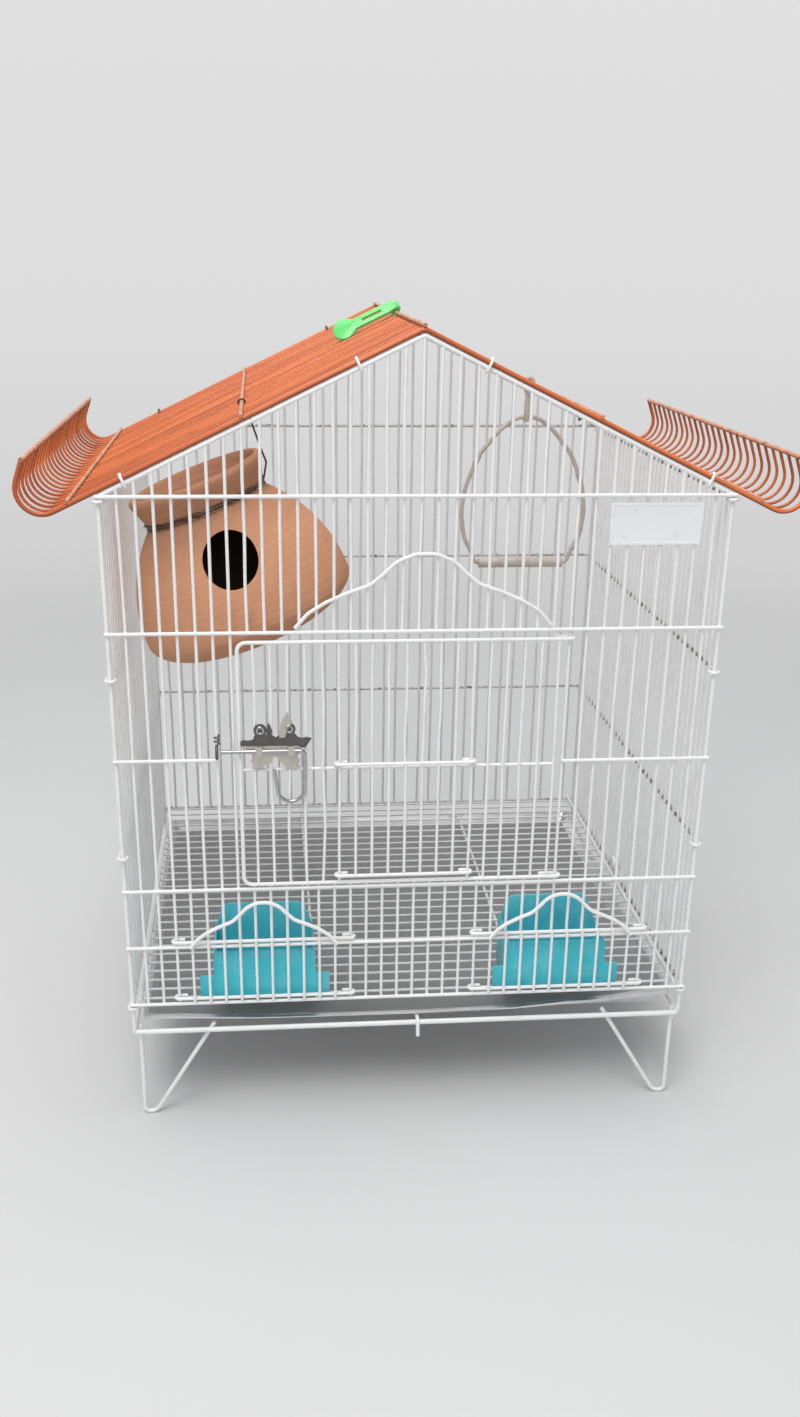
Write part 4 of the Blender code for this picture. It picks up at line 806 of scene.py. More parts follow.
hinge_hook_r = front_y - door_y
hinge_top = arc((hinge_x, front_y, door_head), hinge_hook_r, math.pi / 2, -math.pi / 2, X, Y)
hinge_foot = arc((hinge_x, front_y, door_foot), hinge_hook_r, -math.pi / 2, math.pi / 2, X, Y)
corner, hinge_tail = 0.006, 0.012
corner_high = Vector((door_left + corner, door_y, door_head - corner))
corner_low = Vector((door_left + corner, door_y, door_foot + corner))
frame_run = [Vector((hinge_x - hinge_tail, front_y + hinge_hook_r, door_head))] + hinge_top
frame_run += arc(corner_high, corner, math.pi / 2, math.pi, X, Z)
frame_run += arc(corner_low, corner, math.pi, 1.5 * math.pi, X, Z)
frame_run += hinge_foot + [Vector((hinge_x - hinge_tail, front_y + hinge_hook_r, door_foot))]
door_uprights, door_welds = [], []
for n in range(door_count):
    x = door_wire(n)
    over_small = small_wires[0] < n < small_wires[1]
    low = door_rail - past if over_small else door_foot
    sway = bent_sway if n in bent_wires else door_sway
    door_uprights.append(straightened((x, door_y, low), (x, door_y, door_head), sway))
    door_welds.append((x, door_y + 0.001, door_rail))
    door_welds.append((x, door_y, door_head - bead_out))
    if not over_small:
        door_welds.append((x, door_y, door_foot + bead_out))
rail_y = door_y + door_wire_r + door_rail_r - bite
mid_rail = [(door_left, rail_y, door_rail), (door_first + past, rail_y, door_rail)]
door_groups = [(door_r, 0, [frame_run]), (door_rail_r, 0, [mid_rail]), (door_wire_r, 0.02, door_uprights)]
main_door = coat(draw_wires("main_door_wires", door_groups), white_coat)
add_beads(main_door, door_welds, weld_r)
fit(main_door, "main_door", "white_wire", "main_door")

small_left, small_right = door_wire(small_wires[1]), door_wire(small_wires[0])
small_hook_r = door_wire_r + gap + rail_r
small_low, small_high = door_foot + 0.006, door_rail + 0.004
small_y = door_y - small_hook_r
small_rails = [lift_rail(small_left, small_right, door_y, small_hook_r, lift_tail, z)
               for z in (small_low, small_high)]
small_uprights = [[(door_wire(n), small_y, small_low), (door_wire(n), small_y, small_high)]
                  for n in range(small_wires[0] + 1, small_wires[1])]
small_groups = [(rail_r, 0, small_rails), (door_wire_r, 0, small_uprights)]
small_door = coat(draw_wires("small_door_wires", small_groups), white_coat)
fit(small_door, "small_door", "white_wire", "small_door")


# The latch is stamped from thin steel sheet and its tabs are bent round the door wires: two eyelets
# and a curled tab above, two tan wings below, and two saddles for a bright drawn bolt.

latch_z = stub_z + 0.0075
plate_left, plate_t, bolt_r = door_left + 0.002, 0.001, 0.00135
plate_back = door_y - door_wire_r - gap
bolt_y = plate_back - plate_t - gap - bolt_r
strap_x = {"left": plate_left + 0.0113, "right": plate_left + 0.0335}

bright = Finish("drawn_steel", Metallic=1.0)
bright_draw = bright.noise(1.0, 4.0, 0.6, bright.stretch((160, 900, 900)))
bright.paint(bright_draw, ((0.36, 0.36, 0.37), (0.62, 0.62, 0.62)))
bright.set("Roughness", 0.14 + bright_draw * 0.12)
bright.bump(bright_draw, 0.00005)

stamped = Finish("stamped_sheet", Metallic=1.0)
stamped_cloud = stamped.noise(120.0, 5.0, 0.6)
stamped_spot = stamped.noise(520.0, 3.0).above(0.62, 0.1)
stamped.paint(stamped_cloud, ((0.10, 0.10, 0.10), (0.24, 0.235, 0.225)),
              (stamped_spot * 0.5, (0.12, 0.09, 0.07)))
stamped.set("Roughness", 0.38 + stamped_cloud * 0.2)
stamped.bump(stamped_cloud, 0.0002)

wing_steel = Finish("lacquered_sheet", Metallic=0.55)
wing_cloud = wing_steel.noise(160.0, 5.0, 0.6)
wing_steel.paint(wing_cloud, ((0.50, 0.46, 0.40), (0.70, 0.67, 0.61)))
wing_steel.set("Roughness", 0.34 + wing_cloud * 0.2)
wing_steel.bump(wing_cloud, 0.0001)

bar_view = ((-1.5, 3.4), (-1.5, 6.6), (0.2, 7.9), (4.0, 7.4), (7.6, 8.3), (8.0, 11.0), (16.6, 11.5),
            (17.6, 20.5), (19.2, 18.0), (20.9, 13.9), (19.6, 11.8), (22.9, 9.6), (25.0, 10.6), (26.6, 9.9),
            (28.0, 12.6), (36.6, 12.0), (38.1, 9.8), (41.0, 8.8), (44.5, 9.3), (48.0, 8.6), (46.5, 6.2),
            (43.2, 1.6), (40.0, 2.2), (38.0, 3.4))
tab_view = ((25.4, 9.4), (26.4, 18.7), (28.6, 23.9), (31.2, 27.5), (33.0, 25.2), (34.6, 19.8), (31.5, 16.6),
            (29.4, 9.4))
wing_view = ((2.0, 3.8), (2.0, 0.5), (6.0, -2.2), (6.2, -6.5), (5.0, -8.2), (6.8, -9.4), (6.2, -13.0),
             (8.2, -14.2), (11.0, -12.6), (13.6, -12.8), (15.5, -10.4), (18.8, -9.2), (20.6, -6.0),
             (22.4, -4.4), (25.0, -7.4), (27.8, -11.0), (31.0, -13.4), (34.0, -13.6), (36.0, -12.2),
             (40.0, -13.0), (38.2, -10.2), (39.6, -7.6), (37.6, -5.0), (40.0, -1.5), (40.5, 3.8))
ear_view, ear_r, eyelet_r, eyelet_wall = ((12.3, 14.8), (32.2, 15.4)), 0.0046, 0.0023, 0.0009
plate_front, burr, tab_proud = plate_back - plate_t, 0.0002, 0.0006


def stamping(view, finish, low, high):
    """A flat stamping cut to an outline in millimetres from the plate's left end, on the bolt line."""
    outline = [(plate_left + u / 1000, latch_z + v / 1000) for u, v in view]
    return coat(soften(slab(outline, low, high), burr, 2, 25), finish)


stampings = [stamping(bar_view, stamped, plate_front, plate_back),
             stamping(tab_view, wing_steel, plate_front - tab_proud, plate_back),
             stamping(wing_view, wing_steel, plate_front + burr, plate_back)]
for u, v in ear_view:
    spot = Vector((plate_left + u / 1000, (plate_front + plate_back) / 2, latch_z + v / 1000))
    ear = soften(rod(spot, ear_r, plate_t, depth_turn), burr, 2)
    stampings.append(coat(ear, stamped))
    deselect()
    bpy.ops.mesh.primitive_torus_add(location=spot - Vector((0, plate_t / 2, 0)), major_segments=32,
                                     rotation=depth_turn, major_radius=eyelet_r,
                                     minor_radius=eyelet_wall, minor_segments=12)
    stampings.append(coat(bpy.context.object, bright))
plate = join("latch_sheet_plate", stampings, 35)
fit(plate, "main_door", "latch_sheet", "latch_plate")

for side, x in strap_x.items():
    low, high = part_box("latch_strap_" + side)
    strap = block(low, high)
    cut(strap, rod((x, bolt_y, latch_z), bolt_r + gap, 2 * well_past, across_turn))
    strap = coat(join("latch_saddle_" + side, [soften(strap, 0.0004)], 40), wing_steel)
    fit(strap, "main_door", "latch_sheet", "latch_strap_" + side)

elbow, elbow_r, turn_r, drop, bolt_short = plate_left + 0.043, 0.0027, 0.010, 0.0275, 0.0032
bolt_turn = Vector((elbow - turn_r, bolt_y, latch_z - drop))
bolt_end = Vector((elbow - 0.0215, bolt_y, latch_z - 0.0135))
bolt_run = [Vector((wire_x(keeper_wire) + bolt_short, bolt_y, latch_z))]
bolt_run += arc((elbow - elbow_r, bolt_y, latch_z - elbow_r), elbow_r, math.pi / 2, 0, X, Z)
bolt_run += arc(bolt_turn, turn_r, 0, -0.85 * math.pi, X, Z, 16)
bolt_run.append(bolt_end)
bolt = coat(draw_wires("latch_bolt_rod", [(bolt_r, 0, [bolt_run])], resolution=8), bright)
fit(bolt, "latch_bolt", "latch_steel", "latch_bolt")

keeper_eye_r, keeper_r, coil_r, coil_turns, coil_steps = 0.0044, 0.0010, 0.0006, 2.5, 56
coil_low, coil_tall = latch_z + 0.0035, 0.0070
keeper_x = wire_x(keeper_wire)
keeper_run = arc((keeper_x, bolt_y, latch_z), keeper_eye_r, 0, 2 * math.pi, Y, Z, 28)[:-1]
eye = draw_wires("keeper_eye", [(keeper_r, 0, [keeper_run])], closed=True)
coil_run, wide_r = [], wire_r + coil_r
for n in range(coil_steps + 1):
    turn = 2 * math.pi * coil_turns * n / coil_steps
    rise = coil_low + coil_tall * n / coil_steps
    coil_run.append((keeper_x + wide_r * math.sin(turn), front_y - wide_r * math.cos(turn), rise))
coil = draw_wires("keeper_coil", [(coil_r, 0, [coil_run])])
keeper = coat(join("latch_keeper_eye", [eye, coil]), stamped)
fit(keeper, "cage", "tie_wire", "latch_keeper")


# A thick wire bowed like the feeder handles stands over the door as a crest, welded to the uprights,
# and a thin enamelled plate, left bare here, is fixed at the top right.

crest_r, crest_bend, crest_rise, crest_shift, crest_inset = 0.0013, 0.014, 0.050, 0.015, 0.0287
crest_y, crest_foot = front_y - wire_r - crest_r + bite, head_z + 0.0029
crest_left = wire_x(door_wires[0])
crest_half = (hinge_x - crest_left) / 2 - crest_inset
crest_middle = (crest_left + hinge_x) / 2 + crest_shift
crest_run = stepped_bow(crest_middle, crest_half, crest_foot, crest_rise, crest_y)
crest = coat(draw_wires("door_crest_wire", [(crest_r, crest_bend, [crest_run])]), white_coat)
fit(crest, "cage", "white_wire", "door_arch")

enamel = Finish("white_enamel", Coat_Weight=0.3, Coat_Roughness=0.1)
enamel.mottle((30.0, 4.0), ((0.86, 0.865, 0.875), (0.92, 0.925, 0.93)), (220.0, 4.0, 0.6, 0.66), 0.08,
              0.6, (0.58, 0.57, 0.55), 0.25, 0.3)
enamel.bump(enamel.noise(90.0, 3.0), 0.0002)
sign_low, sign_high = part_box("sign_plate")
sign_rim, sign_step, sign_dish = 0.0016, 0.0005, 0.0003
sign = block(sign_low, sign_high)
bpy.ops.object.mode_set(mode="EDIT")
bpy.ops.mesh.select_mode(type="FACE")
bpy.ops.mesh.select_all(action="DESELECT")
bpy.ops.object.mode_set(mode="OBJECT")
for face in sign.data.polygons:
    face.select = face.normal.y < -0.5
bpy.ops.object.mode_set(mode="EDIT")
bpy.ops.mesh.inset(thickness=sign_rim, depth=0)
bpy.ops.mesh.inset(thickness=sign_step, depth=-sign_dish)
bpy.ops.object.mode_set(mode="OBJECT")
soften(sign, 0.00012, 2, 20)
sign = coat(join("sign_plate_blank", [sign], 35), enamel)
fit(sign, "cage", "sign_enamel", "sign_plate")


# The roof is a lattice of orange coated wires: each rib runs from one curled eave over the ridge to
# the other, and a few lengthwise wires hold them. Painted shade darkens the coat where it faces
# down, and the long wires are browned.

slope = math.atan2(apex_z - eave_z, half_w)
roof_border_r = 0.0016
ridge_z = apex_z + (border_r + roof_border_r + gap) / math.cos(slope)
slope_end, curl_r, curl_turn, lip = half_w + 0.029, 0.016, math.radians(135), 0.014
rib_gaps, rib_bend, purlin_x = 25, 0.004, 0.116
rib_pitch = (back_y - front_y) / rib_gaps


def orange_finish(name, dull, fresh, grime_level):
    """The orange coat, with painted shade on its undersides, with grime, and with chips down to its white
    primer.
    """
    finish = Finish(name, Specular_IOR_Level=0.4)
    cloud = finish.noise(1.0, 5.0, 0.6, finish.stretch((4, 90, 4))).above(0.48, 0.22)
    grime = finish.noise(90.0, 6.0, 0.7).above(grime_level, 0.14)
    chip = finish.noise(210.0, 3.0).above(0.76, 0.02)
    # Painted shade: faces that look down are painted dark brown.
    facing_z = finish.add("ShaderNodeNewGeometry", {}, {}, "Normal")
    below = 1 - finish.add("ShaderNodeSeparateXYZ", {}, {0: facing_z}, 2).above(-0.25, 0.6)
    finish.paint(cloud, (dull, fresh), (grime * 0.5, (0.26, 0.11, 0.06)),
                 (below * 0.75, (0.16, 0.055, 0.028)), (chip, (0.72, 0.66, 0.60)))
    finish.set("Roughness", 0.34 + grime * 0.3)
    finish.bump(finish.noise(600.0, 3.0) + chip * -2.0, 0.00012)
    return finish


orange = orange_finish("orange_coat", (0.50, 0.105, 0.032), (0.80, 0.205, 0.058), 0.64)
dull_orange = orange_finish("browned_orange_coat", (0.58, 0.210, 0.105), (0.78, 0.380, 0.220), 0.58)


def slope_point(x, lift=0.0):
    """A point of a rib on the straight slope, raised square to it."""
    lean = math.copysign(slope, x)
    return Vector((x + lift * math.sin(lean), 0, ridge_z - abs(x) * math.tan(slope) + lift * math.cos(lean)))


def rib_run(y):
    """One rib: curled eave, slope, ridge and down the other side."""
    end = slope_point(slope_end)
    middle = end + curl_r * Vector((math.sin(slope), 0, math.cos(slope)))
    start = -math.pi / 2 - slope
    half = arc(middle, curl_r, start, start + curl_turn, X, Z, 12)
    last = start + curl_turn
    half.append(half[-1] + lip * Vector((-math.sin(last), 0, math.cos(last))))
    right = [Vector((point.x, y, point.z)) for point in half]
    left = [Vector((-point.x, y, point.z)) for point in reversed(half)]
    return left + bent([left[-1], (0, y, ridge_z), right[0]], rib_bend)[1:-1] + right


rib_sway = 0.0004
ribs = [rib_run(front_y + n * rib_pitch + hand.uniform(-rib_sway, rib_sway)) for n in range(1, rib_gaps)]
roof_borders = [rib_run(front_y), rib_run(back_y)]
long_low, long_high = front_y - past, back_y + past
gutter_x = slope_end - 0.010
rim = rib_run(0)[-1]
long_wires = []
for x in (-gutter_x, -purlin_x, purlin_x, gutter_x):
    point = slope_point(x, rail_out)
    long_wires.append([(point.x, long_low, point.z), (point.x, long_high, point.z)])
ridge_top = ridge_z + rail_out / math.cos(slope)
long_wires.append([(0, long_low, ridge_top), (0, long_high, ridge_top)])
rim_wires = [[(x, long_low, rim.z), (x, long_high, rim.z)] for x in (-rim.x, rim.x)]
rib_set = coat(draw_wires("roof_ribs", [(roof_border_r, 0, roof_borders), (wire_r, 0, ribs)]), orange)
long_groups = [(rail_r, 0, long_wires), (roof_border_r, 0, rim_wires)]
long_set = coat(draw_wires("roof_long", long_groups), dull_orange)
roof = join("roof_wires", [rib_set, long_set])
fit(roof, "cage", "orange_wire", "roof_panel")


# Eight short twists of wire tie the roof's borders to the gable borders of the front and back
# panels, the front ones white coated, the back ones dark. Each is bent round both with pliers.

tie_steel = Finish("dark_tie_wire", Metallic=1.0)
tie_steel.mottle((90.0, 5.0, 0.6), ((0.085, 0.070, 0.058), (0.20, 0.175, 0.150)), (260.0, 5.0, 0.65, 0.55),
                 0.12, 0.7, (0.16, 0.085, 0.05), 0.40, 0.3)
tie_steel.bump(tie_steel.noise(90.0, 5.0, 0.6), 0.0001)

clip_r, clip_tail, border_gap = 0.0010, 0.0004, border_r + roof_border_r + gap
clip_hook_r = roof_border_r + gap + clip_r
for depth, y, out, finish in (("front", front_y, -1, white_coat), ("back", back_y, 1, tie_steel)):
    for number, place in enumerate((1.5, 14.5, 21.5, 34.5), 1):
        x = wire_x(place)
        lean = math.copysign(slope, x)
        up = Vector((math.sin(lean), 0, math.cos(lean)))
        low = Vector((x, y, gable_z(x)))
        high = low + up * border_gap
        side = Vector((0, out, 0))
        run = [low - side * clip_hook_r + up * roof_border_r]
        run += arc(low, clip_hook_r, math.pi, 2 * math.pi, side, up)
        run += arc(high, clip_hook_r, 0, math.pi, side, up)
        run.append(high - side * clip_hook_r - up * clip_tail)
        clip = coat(draw_wires("roof_tie_" + depth + "_" + str(number), [(clip_r, 0, [run])]), finish)
        fit(clip, "cage", "tie_wire", "roof_clip_" + depth + "_" + str(number))


# A bright green plastic peg lies down the left slope, hooked over the ridge wire. It is one springy
# moulding, a slotted arm with a wide round head and a narrow beak.

green = Finish("green_plastic", Coat_Weight=0.2, Subsurface_Weight=0.1)
green.mottle((60.0, 4.0), ((0.100, 0.680, 0.150), (0.150, 0.800, 0.220)), (300.0, 4.0, 0.6, 0.62), 0.1,
             0.4, (0.04, 0.38, 0.08), 0.32, 0.2)
green.bump(green.noise(60.0, 4.0), 0.0002)
peg_y = front_y + 12.5 * rib_pitch
peg_down = Vector((-math.cos(slope), 0, -math.sin(slope)))
peg_up = Vector((-math.sin(slope), 0, math.cos(slope)))
peg_grip, peg_t, peg_head, peg_head_r = rail_r + gap, 0.003, 0.041, 0.0085
peg_half, peg_arm, peg_beak, peg_neck = 0.009, 0.0042, 0.002, peg_head - 0.009
slot_start, slot_end, slot_half = 0.010, 0.026, 0.0011
peg_roll, peg_lift = math.radians(-52), 0.0035


def peg_side(down, up, across):
    """A place on the peg's side view, measured from the ridge wire down the left slope."""
    return peg_down * down + peg_up * up + Vector((0, across, 0))


def peg_top(down, across, up):
    """A place on the peg's top view."""
    return peg_side(down, up, across)


inner_hook = arc((0, 0, 0), peg_grip, math.pi / 2, -0.75 * math.pi, (-1, 0, 0), Y, 12)
outer_hook = arc((0, 0, 0), peg_grip + peg_t, -0.75 * math.pi, math.pi / 2, (-1, 0, 0), Y, 16)
peg_view = [(peg_head + peg_head_r, peg_grip)] + [(p.x, p.y) for p in inner_hook + outer_hook]
peg_view.append((peg_head + peg_head_r, peg_grip + peg_t))
peg = slab(peg_view, -peg_half, peg_half, peg_side)
head_arc = arc((peg_head, 0, 0), peg_head_r, -0.64 * math.pi, 0.64 * math.pi, X, Y, 24)
plan_view = [(-0.008, peg_beak), (-0.008, -peg_beak), (0.004, -peg_arm), (peg_neck, -peg_arm)]
plan_view += [(p.x, p.y) for p in head_arc] + [(peg_neck, peg_arm), (0.004, peg_arm)]
cut(peg, slab(plan_view, -2 * well_past, 2 * well_past, peg_top), "INTERSECT")
slot_view = [(slot_start, -slot_half), (slot_end, -slot_half), (slot_end, slot_half), (slot_start, slot_half)]
cut(peg, slab(slot_view, -2 * well_past, 2 * well_past, peg_top))
soften(peg, 0.0007)
rolled = Matrix.Rotation(peg_roll, 4, peg_down)
peg.matrix_world = Matrix.Translation(Vector((0, peg_y, ridge_top)) + peg_up * peg_lift) @ rolled
peg = coat(join("ridge_peg", [peg], 40), green)
fit(peg, "cage", "green_plastic", "ridge_clip")


# The swing is moulded in tan plastic: a hook over a roof wire, a pear-shaped bow clipped together
# from short lengths, and a round perch pushed on to the bow's two ends.

tan = Finish("tan_plastic", Coat_Weight=0.1, Subsurface_Weight=0.05)
tan.mottle((36.0, 5.0, 0.6), ((0.50, 0.44, 0.38), (0.62, 0.56, 0.50)), (120.0, 6.0, 0.65, 0.58), 0.2,
           0.4, (0.30, 0.27, 0.20), 0.42, 0.25)
tan.bump(tan.noise(300.0, 4.0), 0.00025)

hang = slope_point(purlin_x, rail_out) + Vector((0, front_y + 16.5 * rib_pitch, 0))
swing_r, swing_drop, swing_tall, swing_wide, swing_feet = 0.0018, 0.0275, 0.121, 0.106, 0.084
stem_r, stem_top_r, stem_long, stem_above = 0.0034, 0.0021, 0.0188, 0.015
sleeve_r, sleeve_half, perch_r, perch_socket = 0.0024, 0.0045, 0.0045, 0.010
swing_hook_r, hook_bend, bow_bend = rail_r + gap + swing_r, 0.002, 0.03
hook_throat, hook_foot = 0.0108, 0.0140
hook_run = [hang + Vector((swing_hook_r, 0, -2 * swing_r))]
hook_run += arc(hang, swing_hook_r, 0, math.pi, X, Z)
hook_run += [hang + Vector((-swing_hook_r, 0, -2 * swing_r)), hang + Vector((0, 0, -hook_throat)),
             hang + Vector((0, 0, -hook_foot))]
hook = draw_wires("swing_hook_wire", [(swing_r, hook_bend, [hook_run])])
deselect()
stem_spot = hang - Vector((0, 0, swing_drop - stem_above + stem_long / 2))
bpy.ops.mesh.primitive_cone_add(vertices=32, radius1=stem_r, radius2=stem_top_r, depth=stem_long,
                                location=stem_spot)
stem = soften(bpy.context.object, 0.0004)
hook = coat(join("swing_hook_wire", [hook, stem]), tan)
fit(hook, "swing", "tie_wire", "swing_hook")

bow_top = hang.z - swing_drop
bow_shape = ((0.17, 0.0), (0.43, 0.09), (0.72, 0.24), (0.83, 0.34), (0.95, 0.48), (1.0, 0.64), (0.95, 0.82),
             (swing_feet / swing_wide, 0.94))
half_bow = [Vector((u * swing_wide / 2, 0, bow_top - v * swing_tall)) for u, v in bow_shape]
foot_x, foot_z = swing_feet / 2 - swing_r, bow_top - swing_tall
half_bow += [Vector((foot_x, 0, foot_z)), Vector((foot_x - perch_socket, 0, foot_z))]


def bow_point(side, point):
    """A point of the bow's right half, placed on either side of the swing."""
    return Vector((hang.x + side * point.x, hang.y, point.z))


bow_run = [bow_point(-1, point) for point in reversed(half_bow)] + [bow_point(1, point) for point in half_bow]
sleeves = []
for a, b, side in ((2, 3, -1), (3, 4, 1), (6, 7, 1)):
    start, end = bow_point(side, half_bow[a]), bow_point(side, half_bow[b])
    middle, run = (start + end) / 2, (end - start).normalized() * sleeve_half
    sleeves.append([middle - run, middle + run])
bow_groups = [(swing_r, bow_bend, [bow_run]), (sleeve_r, 0, sleeves)]
bow = coat(draw_wires("swing_bow_strip", bow_groups, resolution=6), tan)
fit(bow, "swing", "tie_wire", "swing_bow")

perch_low, perch_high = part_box("swing_perch")
perch_long = perch_high.x - perch_low.x
perch = soften(rod((hang.x, hang.y, foot_z), perch_r, perch_long, across_turn, 40), 0.0006)
perch = coat(join("swing_perch_rod", [perch], 40), tan)
fit(perch, "swing", "perch_plastic", "swing_perch")


# The nest pot is thrown from red clay and left unglazed: a round belly, a drawn-in neck, a flared
# rim, and a bird hole cut while it was soft. A wire tie round its neck hooks over a roof wire.

pot_x, pot_y, pot_z = -half_w + 0.0879, front_y + 5.5 * rib_pitch, eave_z - 0.0776
pot_tilt, pot_lean = math.radians(21.1), math.radians(0.5)
belly_r, belly_drop = 0.0787, 0.0151
upper_r, upper_power, lower_r, lower_power = 0.0988, 1.28, 0.0233, 0.71
neck_r, neck_rise, rim_r, rim_rise, pot_wall, pot_weld = 0.0445, 0.0645, 0.050, 0.0840, 0.005, 0.00005
hole_x, hole_z, hole_r, inside_shade_depth, tie_bend = pot_x - 0.0047, pot_z + 0.0311, 0.019, 0.028, 0.003
pot_turn = Matrix.Rotation(pot_lean, 4, "X") @ Matrix.Rotation(-pot_tilt, 4, "Y")
pot_place = Matrix.Translation((pot_x, pot_y, pot_z)) @ pot_turn

clay = Finish("fired_clay", Specular_IOR_Level=0.15)
clay_own = clay.stretch((1, 1, 1), turn=(0, pot_tilt, 0))
clay_cloud = clay.noise(11.0, 6.0, 0.6)
clay_stain = clay.noise(22.0, 6.0, 0.65).above(0.60, 0.2)
clay_speck = clay.noise(420.0, 3.0).above(0.68, 0.08)
clay_rings = clay.add("ShaderNodeTexWave", {"wave_type": "BANDS", "bands_direction": "Z"},
                      {"Vector": clay_own, "Scale": 60.0, "Distortion": 1.6, "Detail": 2.0}, "Fac")
pot_axis = pot_turn @ Vector((0, 0, 1))
clay_rise = clay.add("ShaderNodeVectorMath", {"operation": "DOT_PRODUCT"},
                     {0: clay.place, 1: pot_axis}, "Value")
clay_rise = clay_rise - pot_axis.dot(Vector((pot_x, pot_y, pot_z)))
# Darker over the shoulder, neck and rim; inside the mouth this darkening is painted shade.
clay_neck_dark_and_shade = clay_rise.above(0.046, 0.030)
clay_low = 1 - clay_rise.above(-0.022, 0.040)
# Painted shade: a dark broken line laid in the groove round the neck.
clay_groove = clay_rise.above(0.0610, 0.0020) - clay_rise.above(0.0665, 0.0020)
clay_groove_shade = clay_groove * clay.noise(1.0, 4.0, 0.7, clay.stretch((60, 60, 400))).above(0.45, 0.1)
clay.paint(clay_cloud, ((0.60, 0.285, 0.160), (0.74, 0.395, 0.240)), (clay_neck_dark_and_shade * 0.50, (0.30, 0.145, 0.085)),
           (clay_low * 0.5, (0.34, 0.170, 0.105)), (clay_stain * 0.3, (0.36, 0.180, 0.110)),
           (clay_groove_shade * 0.8, (0.06, 0.040, 0.030)), (clay_speck * 0.3, (0.76, 0.55, 0.42)))
clay.set("Roughness", 0.86 + clay_cloud * 0.1)
clay.bump(clay_rings * 0.25 + clay.noise(260.0, 5.0, 0.6) * 0.8, 0.0005)

# Painted shade: the inside of the pot, deeper than a band under the rim, is painted near black.
pot_inside_shade = Finish("painted_shade_pot_inside", Specular_IOR_Level=0.1)
pot_inside_shade_cloud = pot_inside_shade.noise(40.0, 5.0, 0.6)
pot_inside_shade.paint(pot_inside_shade_cloud, ((0.010, 0.007, 0.005), (0.030, 0.020, 0.014)))
pot_inside_shade.set("Roughness", 0.9 + pot_inside_shade_cloud * 0.1)
pot_inside_shade.bump(pot_inside_shade_cloud, 0.0005)

profile, low_turn, high_turn, belly_steps = [], -65, 49, 32
for n in range(belly_steps + 1):
    turn = math.radians(low_turn + (high_turn - low_turn) * n / belly_steps)
    size, power = (lower_r, lower_power) if turn < 0 else (upper_r, upper_power)
    rise = math.copysign(size * abs(math.sin(turn)), turn)
    profile.append((belly_r * math.cos(turn) ** power, rise - belly_drop))
profile.insert(0, (0.0, profile[0][1]))
outer_rings = len(profile)
# The groove cut round the neck, the flare, the softened rim, and the neck again from inside.
profile += [(neck_r + 0.0006, neck_rise - 0.0012), (neck_r, neck_rise), (neck_r + 0.0006, neck_rise + 0.0016)]
profile += [(rim_r - 0.0015, rim_rise - 0.008), (rim_r, rim_rise - pot_wall)]
profile += [(rim_r + 0.0002, rim_rise - 0.002), (rim_r - 0.0012, rim_rise)]
profile += [(rim_r - pot_wall + 0.001, rim_rise), (rim_r - pot_wall, rim_rise - 0.002)]
profile += [(neck_r - pot_wall + 0.001, neck_rise + 0.002), (neck_r - pot_wall, neck_rise)]
floor_z = profile[1][1] + pot_wall
for radius, rise in reversed(profile[1:outer_rings]):
    profile.append((max(radius - pot_wall, 0.001), max(rise, floor_z)))
profile.append((0.0, floor_z))
deselect()
bpy.ops.mesh.primitive_plane_add(size=0.01)
pot = bpy.context.object
bpy.ops.object.mode_set(mode="EDIT")
bpy.ops.mesh.select_mode(type="VERT")
bpy.ops.mesh.select_all(action="SELECT")
bpy.ops.mesh.merge(type="CENTER")
bpy.ops.transform.translate(value=(profile[0][0], 0, profile[0][1]))
for (r0, z0), (r1, z1) in zip(profile, profile[1:]):
    bpy.ops.mesh.extrude_vertices_move(TRANSFORM_OT_translate={"value": (r1 - r0, 0, z1 - z0)})
bpy.ops.object.mode_set(mode="OBJECT")
apply(pot, "SCREW", steps=96, render_steps=96, use_merge_vertices=True, merge_threshold=pot_weld)
bpy.ops.object.mode_set(mode="EDIT")
bpy.ops.mesh.select_all(action="SELECT")
bpy.ops.mesh.remove_doubles(threshold=pot_weld)
bpy.ops.mesh.normals_make_consistent(inside=False)
bpy.ops.object.mode_set(mode="OBJECT")
coat(pot, clay, pot_inside_shade)
# Inside faces deeper than the band under the rim take the painted shade.
for face in pot.data.polygons:
    out = Vector((face.center.x, face.center.y, 0)).dot(face.normal)
    inside = out < 0 or (face.normal.z > 0.9 and face.center.z < 0)
    face.material_index = int(inside and face.center.z < rim_rise - inside_shade_depth)
pot.matrix_world = pot_place
bpy.ops.object.transform_apply(location=True, rotation=True, scale=True)
cut(pot, rod((hole_x, pot_y - 0.07, hole_z), hole_r, 0.1, depth_turn, 64))
soften(pot, 0.0009, 3, 50)
pot = join("nest_pot", [pot], 50)
fit(pot, "cage", "terracotta", "clay_pot")

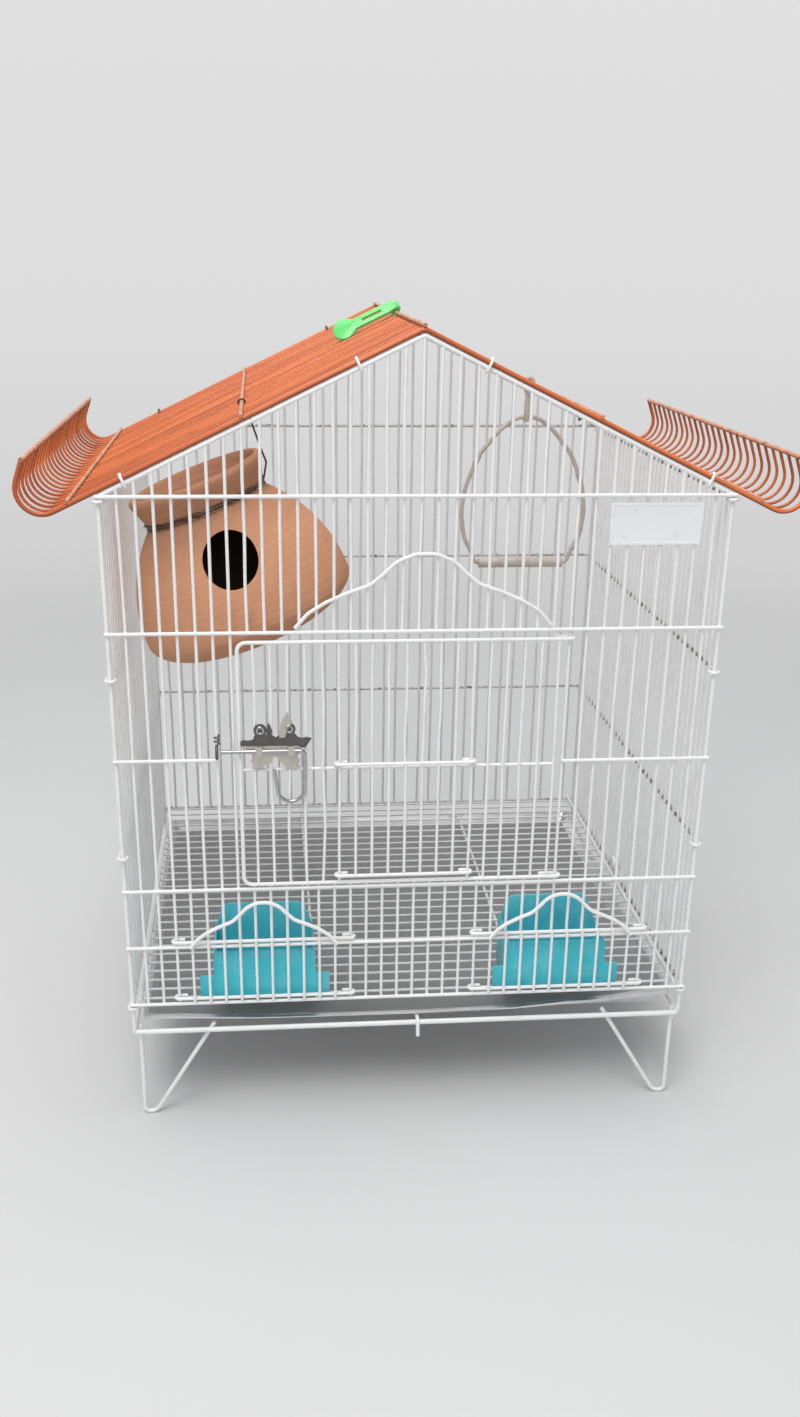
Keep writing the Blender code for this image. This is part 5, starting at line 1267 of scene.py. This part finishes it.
tie_r = 0.0007
flare = math.atan2(rim_r - neck_r, rim_rise - pot_wall - neck_rise)
tie_loop_r = neck_r + (tie_r + gap) / math.cos(flare)
tie_loop = arc((0, 0, neck_rise), tie_loop_r, 0, 2 * math.pi, X, Y, 48)[:-1]
tie_loop = [pot_place @ point for point in tie_loop]
loop = draw_wires("tie_loop", [(tie_r, 0, [tie_loop])], closed=True)
purlin = slope_point(-purlin_x, rail_out) + Vector((0, pot_y, 0))
tie_hook_r = rail_r + gap + tie_r
past_rim = rim_r + tie_r + 0.0006
hang_run = [purlin + Vector((-tie_hook_r, 0, -2 * tie_r))]
hang_run += arc(purlin, tie_hook_r, math.pi, 0, X, Z)
hang_run += [purlin + Vector((tie_hook_r, 0, -2 * tie_r))]
hang_run += [pot_place @ Vector((past_rim, 0, rise)) for rise in (rim_rise + tie_r, rim_rise - 2 * pot_wall)]
hang_run.append(pot_place @ Vector((tie_loop_r, 0, neck_rise)))
hanger = draw_wires("tie_hanger", [(tie_r, tie_bend, [hang_run])])
tie = coat(join("pot_tie_wire", [loop, hanger]), tie_steel)
fit(tie, "cage", "tie_wire", "pot_tie")


# A small white plastic spool sits in a gap of the right side panel, as the socket for a perch. Its
# two round heads grip the uprights from both sides.

soft_white = Finish("white_plastic", Coat_Weight=0.1, Subsurface_Weight=0.05)
soft_white.mottle((80.0, 4.0), ((0.78, 0.79, 0.79), (0.86, 0.86, 0.86)), (200.0, 5.0, 0.6, 0.58), 0.2,
                  0.4, (0.60, 0.58, 0.53), 0.38, 0.2)
soft_white.bump(soft_white.noise(80.0, 4.0), 0.0002)
knob_y, knob_z = front_y + 17.5 * side_pitch, bottom_z + 0.0105
knob_neck_r, knob_head_r, knob_head_t, knob_slack = 0.0042, 0.0065, 0.003, 0.00055
inner, outer = half_w - knob_slack - wire_r - gap, half_w + wire_r + gap
rounds = []
for low, high, radius in ((inner - 0.001, outer + 0.001, knob_neck_r),
                          (inner - knob_head_t, inner, knob_head_r),
                          (outer, outer + knob_head_t, knob_head_r)):
    rounds.append(rod(((low + high) / 2, knob_y, knob_z), radius, high - low, across_turn, 36))
knob = rounds[0]
for head in rounds[1:]:
    cut(knob, head, "UNION")
knob = coat(join("side_spool", [soften(knob, 0.0006)], 40), soft_white)
fit(knob, "cage", "white_plastic", "side_knob")
